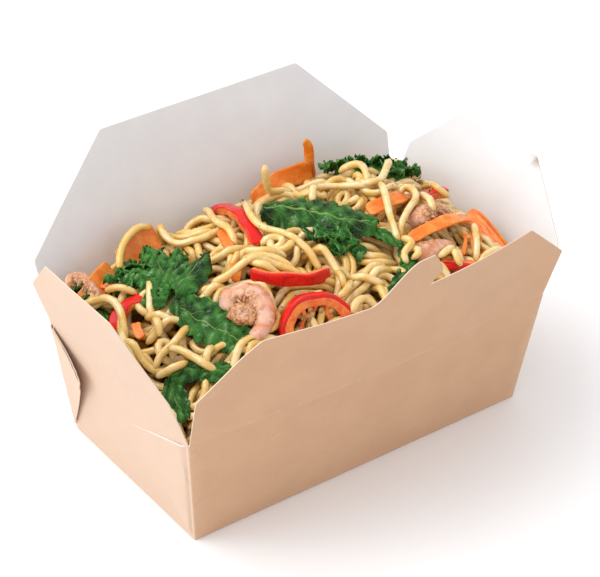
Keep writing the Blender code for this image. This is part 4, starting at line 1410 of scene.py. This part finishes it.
def make_strands(name, lines, nodes):
    """One piece of many strands; marks say how deep each point lies and whether it faces up, which the finish
    turns into painted shade.
    """
    radius = strand_radius()
    rng = np.random.default_rng(7)
    points, faces, tints, depth_shades, rest, upper = [], [], [], [], [], []
    sides = STRAND_SIDES
    base = 0
    angles = 2.0 * pi * np.arange(sides) / sides
    for line in lines:
        fine = smooth_line(line, STRAND_CUT)
        count = len(fine)
        _, side, up = frames_level(fine)
        beads = 0.05 * np.sin(np.arange(count) * 0.35 + rng.uniform(0, 6))
        swell = radius * (1.0 + beads + rng.normal(0.0, 0.03))
        swell[[0, -1]] *= 0.45
        swell[[1, -2]] *= 0.9
        flat = 1.0 + rng.uniform(-0.06, 0.06)
        ring = (fine[:, None, :]
                + (swell[:, None] * np.cos(angles) * flat)[..., None] * side[:, None, :]
                + (swell[:, None] * np.sin(angles) / flat)[..., None] * up[:, None, :])
        points.append(ring.reshape(-1, 3))
        faces += tube_faces(count, sides, base)
        tints.append(np.full(count * sides, rng.uniform(0.0, 1.0) ** 2))
        # How deep the strand lies under the heap's outline and how near a wall, for painted shade
        low = np.array([heap_height(a, b) for a, b in fine[:, :2]]) - fine[:, 2]
        walls = np.minimum(WALL_HALF[0] - np.abs(fine[:, 0]), WALL_HALF[1] - np.abs(fine[:, 1]))
        depth_shades.append(np.repeat(np.clip(np.minimum(low - 1.5, walls * 2.0) / 7.0, 0.0, 1.0), sides))
        rest.append(ring.reshape(-1, 3) + rng.uniform(-300.0, 300.0, 3))
        # 1 on top of a strand and -1 beneath, for the painted shade on its underside
        upper.append(np.tile(np.sin(angles), count))
        base += count * sides
    piece = new_piece(name, np.vstack(points), faces,
                      {"tint": np.concatenate(tints), "depth_shade": np.concatenate(depth_shades),
                       "upper": np.concatenate(upper)}, np.vstack(rest))
    dress(piece, "tray", nodes, "noodle", shared("noodle_strand", noodle_finish))
    return piece


# ---------------------------------------------------------------- toppings
def seated(route, tall, step):
    """A plan route with lifts, raised so that the piece's underside is bedded in the strands."""
    line = smooth_line(route, step)
    z = np.array([heap_height(x, y) for x, y in line[:, :2]])
    kernel = np.array((0.25, 0.5, 0.25))
    for _ in range(3):
        padded = np.concatenate(([z[0]], z, [z[-1]]))
        z = np.maximum(z, np.convolve(padded, kernel, "valid"))
    return np.column_stack((line[:, :2], z + tall + line[:, 2]))


def inner_side(route):
    """1 where the middle of the curve lies to the left of the route, -1 where it lies to the right."""
    first, middle, last = (np.array(route[index][:2], float) for index in (0, len(route) // 2, -1))
    turn = (middle[0] - first[0]) * (last[1] - middle[1]) - (middle[1] - first[1]) * (last[0] - middle[0])
    return 1.0 if turn > 0.0 else -1.0


def prawn_girth(girth, t):
    """Half the thickness of the body at the share t of its length, with a step at each plate."""
    body = (1.0 - 0.58 * t ** 1.9) * min(1.0, 0.62 + 2.6 * t) * min(1.0, ((1.0 - t) / 0.04) ** 0.5 + 0.25)
    step = (t * PRAWN_PLATES) % 1.0
    plate = 1.0 + 0.10 * (step ** 2.2) - 0.06 * exp(-((step - 0.02) / 0.09) ** 2)
    return girth / 2.0 * body * plate


def prawn_body(line, girth, inner, seasoning):
    """The plated body, pink in bands along its back and seasoned towards the inside of the curl."""
    sides = 28
    angles = 2.0 * pi * np.arange(sides) / sides
    belly = np.exp(-((np.cos(angles) * inner - 1.0) / 0.16) ** 2)
    groove = np.exp(-((np.cos(angles) * inner + 0.55) / 0.10) ** 2) * (np.sin(angles) > 0.0)

    def section(t):
        keep = prawn_girth(girth, t) * (1.0 - 0.14 * belly - 0.10 * groove * min(1.0, (1.0 - t) * 2.0))
        return np.column_stack((np.cos(angles) * keep, np.sin(angles) * keep * 0.92))

    points, faces, along, around = sweep(line, section)
    plate = (along * PRAWN_PLATES) % 1.0
    band = np.clip((plate - 0.35) / 0.6, 0.0, 1.0) ** 1.5
    band = np.clip(band + 0.35 * np.clip((along - 0.72) / 0.28, 0.0, 1.0), 0.0, 1.0)
    toward = np.cos(around * 2.0 * pi) * inner
    band *= np.clip(0.7 - 0.45 * toward, 0.0, 1.0)
    spice = np.clip(seasoning + 1.1 * toward, 0.0, 1.0)
    rough = noise_at(points, 2.2) + 0.5 * noise_at(points, 0.9)
    away = unit(points - np.repeat(line, sides, axis=0))
    return points + away * ((0.30 + 0.25 * spice) * rough)[:, None], faces, band, spice


def prawn_legs(line, frames, girth, inner):
    """Small legs inside the curl."""
    ahead, side, up = frames
    rng = np.random.default_rng(int(girth * 10))
    legs = []
    for leg in range(11):
        index = int((0.06 + 0.075 * leg) * (len(line) - 1))
        radius = prawn_girth(girth, index / (len(line) - 1))
        away = side[index] * inner
        start = line[index] + away * radius * 0.7 + up[index] * radius * rng.uniform(-0.1, 0.5)
        bend = (away * rng.uniform(2.0, 3.4) + ahead[index] * rng.uniform(0.6, 1.8)
                + up[index] * rng.uniform(-1.0, 0.8))
        run = smooth_line([start, start + bend * 0.45 + up[index] * 0.5, start + bend * 0.85,
                           start + bend * 1.1 - up[index] * 0.8], 0.6)
        points, faces, along, _ = sweep(run, lambda t: boxy(6, 1.0) * (0.75 * (1.0 - 0.65 * t)))
        legs.append((points, faces, np.full(len(points), 0.3), 0.9 - 0.3 * along))
    return legs


def prawn_filling(line, size):
    """Soft, seasoned flesh in the middle of the curl."""
    rows, columns = 15, 26
    turns = np.linspace(0.0, 2.0 * pi, columns, endpoint=False)
    rise = np.linspace(-0.48 * pi, 0.48 * pi, rows)[:, None]
    ball = np.stack(np.broadcast_arrays(np.cos(rise) * np.cos(turns), np.cos(rise) * np.sin(turns),
                                        np.sin(rise)), -1).reshape(-1, 3)
    knobs = np.array([noise.noise(Vector(point) * 2.1) + 0.5 * noise.noise(Vector(point) * 5.0)
                      for point in ball])
    middle = line.mean(axis=0) + (-2.0, 0.5, 0.4)
    ball = middle + ball * (size, size * 0.95, size * 0.55) * (1.0 + 0.22 * knobs)[:, None]
    faces = grid_faces(rows, columns, closed=True)
    faces += [tuple(range(columns)), tuple(reversed(range((rows - 1) * columns, rows * columns)))]
    return ball, faces, 0.35 + 0.4 * knobs, np.full(len(ball), 0.95)


def prawn_tail(tip, way, across, rise, girth):
    """The four fins of the tail fan."""
    rows, columns = 7, 5
    rim = grid_rim(rows, columns)
    fins = []
    for spread in (-0.62, -0.2, 0.25, 0.66):
        direction = way * cos(spread) + across * sin(spread)
        level = across * cos(spread) - way * sin(spread)
        fin = []
        for row in range(rows):
            r = row / (rows - 1)
            wide = girth * 0.20 * sin(pi * (0.12 + 0.80 * r)) ** 0.8
            for column in range(columns):
                c = column / (columns - 1) - 0.5
                arch = 0.5 * cos(c * 5.0) + 0.12 * abs(spread) * 3.0 - 0.9 * r
                fin.append(tip - way * 0.8 + direction * r * girth * 0.42 + level * c * 2.0 * wide
                           + rise * arch)
        top = np.array(fin)
        both = np.vstack((top, top - rise * 0.45))
        faces = grid_faces(rows, columns)
        faces += [face[::-1] for face in grid_faces(rows, columns, start=len(top))]
        faces += band_faces(rim, [index + len(top) for index in rim])
        fins.append((both, faces, np.full(len(both), 0.95), np.zeros(len(both))))
    return fins


def make_prawn(name):
    """A curled prawn: its body, its legs, the flesh in its curl where that shows, and its tail."""
    route, girth, seasoning, filling = PRAWNS[name]
    line = seated(route, girth * 0.36, 0.7)
    inner = inner_side(route)
    frames = frames_level(line)
    parts = [prawn_body(line, girth, inner, seasoning), *prawn_legs(line, frames, girth, inner)]
    if filling:
        parts.append(prawn_filling(line, filling))
    parts += prawn_tail(line[-1], *(rows[-1] for rows in frames), girth)
    points, faces, band, spice = join_parts(parts)
    piece = new_piece(name, points, faces, {"band": band, "spice": spice})
    tidy_normals(piece)
    dress(piece, "tray", (name,), "prawn", shared("prawn_flesh", prawn_finish))
    return piece


def tidy_normals(piece):
    bm = bmesh.new()
    bm.from_mesh(piece.data)
    bmesh.ops.recalc_face_normals(bm, faces=bm.faces)
    bm.to_mesh(piece.data)
    bm.free()


def rough_skin(points, line, sides, amount):
    """Points of a sweep pushed in and out from its line, in soft lumps."""
    away = unit(points - np.repeat(line, sides, axis=0))
    return points + away * (amount * noise_at(points, 2.6))[:, None]


def soften_mesh(piece):
    """One level of rounding over the whole mesh."""
    soft = piece.modifiers.new("soft", "SUBSURF")
    soft.levels = soft.render_levels = 1
    settle_modifiers(piece)


def skin_or_flesh(faces, toward, least):
    """0, the skin, for the quads that face the skin side, and 1, the flesh, for the others and the ends."""
    return [1 if len(face) > 4 or min(toward[index % len(toward)] for index in face) < least else 0
            for face in faces]


def make_pepper(name):
    """A slice of pepper wall: glossy skin on one side of the strip, paler flesh on the others."""
    route, width, height, facing = PEPPERS[name]
    seed = sum(ord(letter) for letter in name)
    line = seated(route, height * 0.42, 1.0)
    inner = inner_side(route)
    count = len(line)
    tilt = np.array([0.14 * noise.noise(Vector((index / 14.0, seed * 0.37, 1.0))) for index in range(count)])
    profile = boxy(28, 0.34)

    def section(t):
        index = t * (count - 1)
        end = min(1.0, 0.55 + 4.0 * sin(pi * min(1.0, max(0.0, t))) ** 0.9)
        wide = width / 2.0 * (0.88 + 0.12 * sin(index * 0.5 + seed)) * end
        tall = height / 2.0 * (0.92 + 0.08 * cos(index * 0.37 + seed)) * (0.55 + 0.45 * end)
        shape = profile * (wide, tall)
        bulge = np.where(profile[:, 0] * inner < 0.0, 1.0 + 0.10 * np.cos(profile[:, 1] * 1.4), 1.0)
        dip = np.where(profile[:, 0] * inner > 0.6, 0.80 + 0.16 * np.abs(profile[:, 1]), 1.0)
        shape[:, 0] *= bulge * dip
        lean = float(np.interp(index, np.arange(count), tilt))
        return shape @ np.array(((cos(lean), sin(lean)), (-sin(lean), cos(lean))))

    points, faces, *_ = sweep(line, section)
    piece = new_piece(name, rough_skin(points, line, len(profile), 0.22), faces)
    tidy_normals(piece)
    dress(piece, "tray", (name,), "red_pepper", *pepper_finishes()[:2])
    toward = -profile[:, 0] * inner * cos(facing) + profile[:, 1] * sin(facing)
    piece.data.polygons.foreach_set("material_index", skin_or_flesh(faces, toward, 0.28))
    soften_mesh(piece)
    return piece


def make_pepper_ring():
    """A ring cut across a pepper, standing in the noodles, with ribs and a few seeds inside it."""
    centre, outer, wall, thick, turn, lean = PEPPER_RING
    centre = np.array(centre)
    level = np.array((cos(turn), sin(turn), 0.0))
    back = np.array((-sin(turn), cos(turn), 0.0))
    high = back * sin(lean) + np.array((0.0, 0.0, cos(lean)))
    out = np.cross(level, high)
    angles = np.linspace(radians(-18.0), radians(205.0), 64)
    lobes = 1.0 + 0.035 * np.sin(3.0 * angles + 0.6) + 0.02 * np.sin(7.0 * angles)
    rays = np.cos(angles)[:, None] * level + np.sin(angles)[:, None] * high
    line = centre + rays * ((outer - wall / 2.0) * lobes)[:, None]
    profile = boxy(24)

    def section(t):
        shape = profile * (thick / 2.0, wall / 2.0)
        lumps = 0.9 * max(0.0, sin(9.0 * t + 0.8)) ** 2 + 0.5 * max(0.0, sin(23.0 * t))
        shape[:, 1] -= np.where(profile[:, 1] < 0.0, lumps * np.abs(profile[:, 1]), 0.0)
        return shape * (1.0 + 0.05 * sin(15.0 * t))

    def each_along(direction, count):
        return np.repeat(direction[None, :], count, axis=0)

    points, *others = sweep(line, section, (each_along(out, len(line)), rays))
    parts = [(rough_skin(points, line, len(profile), 0.2), *others)]
    picks = skin_or_flesh(others[0], profile[:, 1], -0.15)
    # ribs run from the wall towards the middle
    for direction, reach, bend in PEPPER_RIBS:
        angle = radians(direction)
        ray = cos(angle) * level + sin(angle) * high
        across = -sin(angle) * level + cos(angle) * high
        run = smooth_line([centre + ray * (outer - wall - reach * k + 0.6) + across * (bend * reach * k * k)
                           + out * (0.9 - 1.4 * k) for k in (-0.05, 0.3, 0.65, 1.0)], 0.8)
        flat = boxy(10, 0.8)
        broad = each_along(out, len(run))
        points, *others = sweep(run, lambda t: flat * (1.7 * (1.0 - 0.45 * t), 1.15 * (1.0 - 0.3 * t)),
                                (broad, np.cross(unit(np.gradient(run, axis=0)), broad)))
        parts.append((rough_skin(points, run, len(flat), 0.3), *others))
        picks += [1] * len(others[0])
    for direction, near, forward in PEPPER_SEEDS:
        angle = radians(direction)
        ray = cos(angle) * level + sin(angle) * high
        spot = centre + ray * near + out * forward
        run = np.array([spot + high * 1.3 * k for k in np.linspace(-1.0, 1.0, 7)])
        oval = boxy(10, 1.0) * (1.35, 0.6)
        parts.append(sweep(run, lambda t: oval * sqrt(max(0.02, 1.0 - (2.0 * t - 1.0) ** 2)),
                           (each_along(level, len(run)), each_along(out, len(run)))))
        picks += [2] * len(parts[-1][1])
    points, faces, *_ = join_parts(parts)
    piece = new_piece("pepper_front", points, faces)
    tidy_normals(piece)
    dress(piece, "tray", ("pepper_front",), "red_pepper", *pepper_finishes())
    piece.data.polygons.foreach_set("material_index", picks)
    soften_mesh(piece)
    return piece


def make_carrot(name):
    """Cut strips of carrot: broad ribbons and thin shreds, each with its own twist."""
    seed = sum(ord(letter) for letter in name)
    rng = np.random.default_rng(seed)
    profile = boxy(14, 0.55)
    parts = []
    for route, width, thick, tilts in CARROTS[name]:
        line = seated(route, thick / 2.0 + abs(sin(tilts[0])) * width * 0.42, 0.9)
        count = len(line)
        ahead, side, up = frames_level(line)
        if name == "carrot_upright":
            up = np.repeat(np.array(((0.55, 0.83, 0.0),)), count, axis=0)
            side = unit(np.cross(up, ahead))
        tilt = np.linspace(tilts[0], tilts[1], count) + 0.10 * np.sin(np.linspace(0.0, 5.0, count) + seed)
        broad = side * np.cos(tilt)[:, None] + up * np.sin(tilt)[:, None]
        through = up * np.cos(tilt)[:, None] - side * np.sin(tilt)[:, None]
        wander = rng.uniform(0.0, 6.0)

        def section(t):
            end = 0.62 + 0.38 * min(1.0, 12.0 * t, 12.0 * (1.0 - t)) ** 0.7
            wide = width / 2.0 * end * (1.0 + 0.07 * sin(11.0 * t + wander))
            shape = profile * (wide, thick / 2.0 * (0.7 + 0.3 * end))
            shape[:, 1] += 0.10 * width * (profile[:, 0] ** 2 - 0.4)
            shape[:, 0] += 0.05 * width * sin(7.0 * t + wander)
            return shape

        parts.append(sweep(line, section, (broad, through)))
    points, faces, along, around = join_parts(parts)
    points = points + (0.16 * noise_at(points, 3.0))[:, None] * np.array((0.3, 0.3, 1.0))
    strip = np.column_stack((along * 4.0 + seed % 13, around, np.full(len(points), seed % 7)))
    piece = new_piece(name, points, faces, {"strip": strip})
    tidy_normals(piece)
    dress(piece, "tray", (name,), "carrot", shared("carrot_strip", carrot_finish))
    soften_mesh(piece)
    return piece


def ripple(x, seed):
    """A smooth wandering value between about -1 and 1."""
    return (np.sin(1.7 * x + seed) + np.sin(2.9 * x + 2.3 * seed) + np.sin(4.3 * x + 3.7 * seed)) / 2.2


def leaf_sheet(route, width, rise, tilt, frill, lift, rib, seed):
    """A leaf blade along a plan route: smooth by its rib, with margins that curl into tight frills.

    Gives points, faces, and marks for the place on the leaf, the frills and the relief; the finish paints
    light on the relief's ridges and shade in its hollows.
    """
    line = smooth_line(route, 0.5)
    count = len(line)
    length = 0.5 * (count - 1)
    ahead = unit(np.gradient(line, axis=0))
    side = np.stack((-ahead[:, 1], ahead[:, 0]), axis=1)
    margin = np.linspace(0.80, 1.0, 7)
    s = np.concatenate((-margin[::-1], np.linspace(-0.68, 0.68, 13), margin))[None, :]
    t = np.linspace(0.0, 1.0, count)[:, None]
    a, hand = np.abs(s), np.where(s < 0.0, 1.0, 2.7) + seed * 1.31
    amount = frill[0] + (frill[1] - frill[0]) * (t ** 0.45 if frill[0] > frill[1] else t ** 1.4)
    amount = amount * (0.85 + 0.45 * ripple(length * t * 0.55, hand + 2.0))
    edge = np.clip((a - 0.50) / 0.50, 0.0, 1.0) ** 1.6
    lobed = 0.10 * np.sin(length * t * 0.95 + hand) + (0.015 + 0.07 * amount) * ripple(length * t * 0.8, hand)
    half = width / 2.0 * np.sin(np.pi * (0.05 + 0.91 * t)) ** 0.62 * (1.0 + lobed * a ** 2)
    wave = 2.0 * np.pi * length * t / 3.7 + 1.5 * ripple(length * t * 0.35, hand) + hand
    tight = 2.0 * np.pi * length * t / 1.55 + 1.2 * ripple(length * t * 0.9, hand + 1.0)
    up = amount * edge * (0.95 * np.sin(wave) + 0.42 * edge * np.sin(tight))
    out = amount * edge * (0.50 * np.cos(wave + 0.7) + 0.34 * edge * np.cos(tight)) * np.sign(s)
    fore = amount * edge * (0.60 * np.cos(wave) + 0.28 * edge * np.sin(tight + 1.0))
    reach = s * half + out
    x = line[:, :1] + side[:, :1] * reach + ahead[:, :1] * fore
    y = line[:, 1:] + side[:, 1:] * reach + ahead[:, 1:] * fore
    x, y = np.clip(x, -95.0, 95.0), np.clip(y, -53.8, 53.8)
    ground = np.vectorize(heap_height)(x, y)
    crown = rise * (1.0 - a ** 1.7) * (0.85 + 0.25 * np.sin(5.0 * t + seed))
    trough = -0.7 * np.exp(-((s - rib) / 0.07) ** 2)
    dimple = np.sin(s * 6.0 + 1.5 * ripple(length * t / 6.0, seed))
    blister = 0.75 * dimple * np.sin(length * t / 1.7 + 2.0 * s)
    uneven = 0.75 + 0.75 * ripple(length * t / 3.2 + 2.0 * s, hand + 4.0)
    fold = np.sin(length * t / 1.35 - 2.2 * a + 2.6 * ripple(length * t / 6.0, hand) + hand)
    blister = blister + 1.5 * a ** 1.3 * uneven * fold * (0.22 + 0.78 * np.clip(amount, 0.0, 1.0))
    z = (ground + lift[0] + (lift[1] - lift[0]) * t + crown + trough + blister * (1.0 - edge)
         + tilt * s * half + up)
    points = np.stack((x, y, np.maximum(z, ground - 1.2)), axis=-1).reshape(-1, 3)
    leaf = np.stack(np.broadcast_arrays(s - rib, t * length / max(8.0, width), seed % 7.0), axis=-1)
    frilled = edge * np.clip(amount, 0.0, 1.0)
    # High on ridges and raised frills, low in hollows: where the finish paints light and shade
    relief = np.clip(0.5 + 0.30 * blister + 0.28 * up, 0.0, 1.0)
    return points, grid_faces(count, s.shape[1]), leaf.reshape(-1, 3), frilled.ravel(), relief.ravel()


def tuft_sheets(route, count, length, rise, seed):
    """Short curled lobes that stand along a rib, turned every way."""
    line = smooth_line(route, 1.0)
    rng = np.random.default_rng(int(seed))
    sheets = []
    for index in range(count):
        x, y = line[int((index + 0.5) / count * (len(line) - 1))] + rng.normal(0.0, 1.2, 2)
        turn = index * 2.4 + rng.uniform(-0.4, 0.4)
        reach = length * rng.uniform(0.8, 1.15)
        bend = rng.uniform(-0.5, 0.5)
        run = [(x + reach * k * cos(turn + bend * k), y + reach * k * sin(turn + bend * k))
               for k in (0.0, 0.35, 0.7, 1.0)]
        start = rise * rng.uniform(0.1, 0.6)
        sheets.append(leaf_sheet(run, length * 0.85, 1.0, rng.uniform(-0.5, 0.5), (0.9, 1.9),
                                 (start, start + rise * rng.uniform(0.1, 0.7)), 0.0, seed + index * 1.7))
    return sheets


def make_kale(name):
    """A kale leaf: its blades and the tufts along its rib."""
    blades, tufts, smooth = KALE[name]
    seed = float(sum(ord(letter) for letter in name) % 97)
    parts = [leaf_sheet(*blade, seed + 5.3 * index) for index, blade in enumerate(blades)]
    if tufts:
        parts += tuft_sheets(*tufts, seed + 11.0)
    points, faces, leaf, frill, relief = join_parts(parts)
    piece = new_piece(name, points, faces, {"leaf": leaf, "frill": frill, "relief": relief})
    if smooth:
        finish = shared("kale_blade", kale_finish, 0.0, 0.62, 0.055, 2.6, 2.1, 0.9)
    else:
        finish = shared("kale_frill", kale_finish, 0.12, 0.5, 0.05, 2.8, 2.2, 1.0)
    give_thickness(piece, 0.32 * MM, (finish,))
    dress(piece, "tray", (name,), "kale")
    return piece


def make_flecks(heap):
    """Crumbs of pepper, herb and seasoning that cling to the strands."""
    rng = np.random.default_rng(23)
    kinds = (("pepper_flecks", 70, (0.30, 0.11, 0.03), (0.10, 0.035, 0.012), 0.55),
             ("herb_flecks", 60, (0.05, 0.14, 0.02), (0.015, 0.05, 0.01), 0.8),
             ("chilli_flecks", 26, (0.55, 0.03, 0.01), (0.75, 0.14, 0.03), 0.7))
    for name, count, first, second, size in kinds:
        points, faces = [], []
        for _ in range(count):
            x, y = rng.uniform(-88.0, 88.0), rng.uniform(-48.0, 48.0)
            z = float(heap.at(heap.top, x, y)) + 0.15
            base = len(points)
            axes = rng.normal(0.0, 1.0, (3, 3))
            axes = unit(axes) * size * rng.uniform(0.5, 1.2, (3, 1)) * np.array([[1.0], [0.7], [0.35]])
            for ring, scale in ((-0.5, 0.7), (0.1, 1.0), (0.6, 0.6)):
                for corner in range(6):
                    angle = corner * pi / 3.0
                    r = scale * rng.uniform(0.75, 1.1)
                    points.append((x, y, z) + axes[0] * r * cos(angle) + axes[1] * r * sin(angle)
                                  + axes[2] * ring)
            faces += grid_faces(3, 6, closed=True, start=base)
            faces.append(tuple(reversed(range(base, base + 6))))
            faces.append(tuple(range(base + 12, base + 18)))
        piece = new_piece(name, np.array(points), faces)
        tidy_normals(piece)
        dress(piece, "tray", (), "noodle", crumb_finish(name, first, second, 3.0, 0.1, 6.0, 0.3, 0.0003))


# ---------------------------------------------------------------- stage
def make_floor():
    """A pale floor, wide enough to fill the view."""
    stage = settings().stage
    wide = 33
    line = [-FLOOR_HALF + 2.0 * FLOOR_HALF * step / (wide - 1) for step in range(wide)]
    piece = new_piece("floor", [(x, y, -FLOOR_DROP) for x in line for y in line], grid_faces(wide, wide))
    face_up(piece)
    item, tree, shader = new_material("floor_paper", Specular_IOR_Level=0.2)
    place = mark(tree, "rest")
    cloud = noisy(tree, place, 0.05, 3.0)
    colour = tint(tree, stage.floor, cloud, 0.04, (0.80, 0.80, 0.82))
    finish_material(tree, shader, colour, calc(tree, "MULTIPLY_ADD", cloud, 0.1, 0.75),
                    noisy(tree, place, 8.0), 0.05, 0.0002)
    piece.data.materials.append(item)


def make_lights():
    """Even light all round, and two soft lamps."""
    stage = settings().stage
    world = bpy.data.worlds.new("even_light")
    world.use_nodes = True
    world.node_tree.nodes["Background"].inputs["Color"].default_value = (0.97, 0.975, 1.0, 1.0)
    world.node_tree.nodes["Background"].inputs["Strength"].default_value = stage.fill
    bpy.context.scene.world = world
    for name, (place, size, share, colour) in LAMPS.items():
        lamp = bpy.data.lights.new(name, "AREA")
        lamp.shape = "SQUARE"
        lamp.size = size
        lamp.energy = stage.key * share
        lamp.color = colour
        item = bpy.data.objects.new(name, lamp)
        bpy.context.scene.collection.objects.link(item)
        item.location = place
        item.rotation_euler = (Vector(LAMP_AIM) - item.location).to_track_quat("-Z", "Y").to_euler()


def make_camera():
    stage = settings().stage
    lens = bpy.data.cameras.new("camera")
    lens.lens = stage.lens
    lens.sensor_width = 36.0
    lens.clip_start, lens.clip_end = 0.05, 20.0
    item = bpy.data.objects.new("camera", lens)
    bpy.context.scene.collection.objects.link(item)
    turn, tip, roll = (radians(angle) for angle in CAMERA_TURN)
    ahead = Vector((-sin(turn) * cos(tip), cos(turn) * cos(tip), -sin(tip)))
    right = ahead.cross(Vector((0.0, 0.0, 1.0))).normalized()
    up = right.cross(ahead)
    side = right * cos(roll) + up * sin(roll)
    top = up * cos(roll) - right * sin(roll)
    item.matrix_world = Matrix.Translation(CAMERA_PLACE) @ Matrix((side, top, -ahead)).transposed().to_4x4()
    bpy.context.scene.camera = item


# ---------------------------------------------------------------- operators
# The toppings made so far, which the noodles are laid round
TOPPINGS = []


class NOODLEBOX_OT_stage(Operator):
    """Add the pale floor, the soft lights and the camera"""
    bl_idname = "noodlebox.stage"
    bl_label = "Stage"

    def execute(self, context):
        context.scene.view_settings.view_transform = "Standard"
        make_floor()
        make_lights()
        make_camera()
        return {"FINISHED"}


class NOODLEBOX_OT_tray(Operator):
    """Add the folded card tray and its four corner gussets"""
    bl_idname = "noodlebox.tray"
    bl_label = "Tray"

    def execute(self, context):
        make_tray_shell()
        for name, numbers in WEBS.items():
            make_web(name, *numbers)
        return {"FINISHED"}


class NOODLEBOX_OT_flaps(Operator):
    """Add the four lid flaps, each bending at its crease"""
    bl_idname = "noodlebox.flaps"
    bl_label = "Lid flaps"

    def execute(self, context):
        x, y = CREASE[0] / 2.0, CREASE[1] / 2.0
        long_wall = atan2((CREASE[1] - BASE[1]) / 2.0, CREASE_HEIGHT)
        end_wall = atan2((CREASE[0] - BASE[0]) / 2.0, CREASE_HEIGHT)
        make_flap("lid_front", front_outline(), FRONT_LEAN, 0.0, (0.0, -y, CREASE_HEIGHT), long_wall,
                  front_shape, "flap_front")
        make_flap("lid_back", flap_outline(CREASE[0], *BACK_OUTLINE), BACK_LEAN, pi,
                  (0.0, y, CREASE_HEIGHT), long_wall, back_shape, "flap_back")
        make_flap("lid_right", flap_outline(CREASE[1], *END_OUTLINE), END_LEAN, pi / 2.0,
                  (x, 0.0, CREASE_HEIGHT), end_wall, right_shape, "flap_right")
        make_flap("lid_left", flap_outline(CREASE[1], *END_OUTLINE), END_LEAN, -pi / 2.0,
                  (-x, 0.0, CREASE_HEIGHT), end_wall, left_shape, "flap_left")
        return {"FINISHED"}


class NOODLEBOX_OT_prawns(Operator):
    """Add the curled prawns"""
    bl_idname = "noodlebox.prawns"
    bl_label = "Prawns"

    def execute(self, context):
        TOPPINGS.extend(make_prawn(name) for name in PRAWNS)
        return {"FINISHED"}


class NOODLEBOX_OT_peppers(Operator):
    """Add the slices of red pepper"""
    bl_idname = "noodlebox.peppers"
    bl_label = "Red pepper"

    def execute(self, context):
        TOPPINGS.extend([*(make_pepper(name) for name in PEPPERS), make_pepper_ring()])
        return {"FINISHED"}


class NOODLEBOX_OT_carrots(Operator):
    """Add the strips of carrot"""
    bl_idname = "noodlebox.carrots"
    bl_label = "Carrot"

    def execute(self, context):
        TOPPINGS.extend(make_carrot(name) for name in CARROTS)
        return {"FINISHED"}


class NOODLEBOX_OT_kale(Operator):
    """Add the kale leaves"""
    bl_idname = "noodlebox.kale"
    bl_label = "Kale"

    def execute(self, context):
        TOPPINGS.extend(make_kale(name) for name in KALE)
        return {"FINISHED"}


class NOODLEBOX_OT_noodles(Operator):
    """Add the noodles: the mass inside the tray and the loose strands among the toppings"""
    bl_idname = "noodlebox.noodles"
    bl_label = "Noodles"

    def execute(self, context):
        heap = Heap(BED_LOW, BED_CELLS, heap_height, BED_HOLLOW)
        covers = [heap.lay(piece) for piece in TOPPINGS]
        make_core()
        make_strands("noodle_strands", strand_lines(heap, covers), ("noodle_heap",))
        make_strands("noodle_sides", side_lines(), ())
        make_flecks(heap)
        return {"FINISHED"}


class NOODLEBOX_PT_panel(Panel):
    """Steps that build the noodle box"""
    bl_label = "Noodle Box"
    bl_idname = "NOODLEBOX_PT_panel"
    bl_space_type = "VIEW_3D"
    bl_region_type = "UI"
    bl_category = "Noodle Box"

    def draw(self, context):
        values = context.scene.noodle_box
        for label, group in (("Box", values.box), ("Noodles", values.noodle),
                             ("Toppings", values.topping), ("Stage", values.stage)):
            column = self.layout.column(align=True)
            column.label(text=label)
            for key in group.__annotations__:
                column.prop(group, key)
        for step in STEPS:
            self.layout.operator(step.bl_idname)


STEPS = (NOODLEBOX_OT_stage, NOODLEBOX_OT_tray, NOODLEBOX_OT_flaps, NOODLEBOX_OT_prawns,
         NOODLEBOX_OT_peppers, NOODLEBOX_OT_carrots, NOODLEBOX_OT_kale, NOODLEBOX_OT_noodles)
CLASSES = (BoxSettings, NoodleSettings, ToppingSettings, StageSettings, NoodleBoxSettings,
           *STEPS, NOODLEBOX_PT_panel)


def register():
    for item in CLASSES:
        bpy.utils.register_class(item)
    bpy.types.Scene.noodle_box = PointerProperty(type=NoodleBoxSettings)


def unregister():
    del bpy.types.Scene.noodle_box
    for item in reversed(CLASSES):
        bpy.utils.unregister_class(item)


def main():
    register()
    make_effects()
    TOPPINGS.clear()
    for step in STEPS:
        group, name = step.bl_idname.split(".")
        getattr(getattr(bpy.ops, group), name)()


if __name__ == "__main__":
    main()
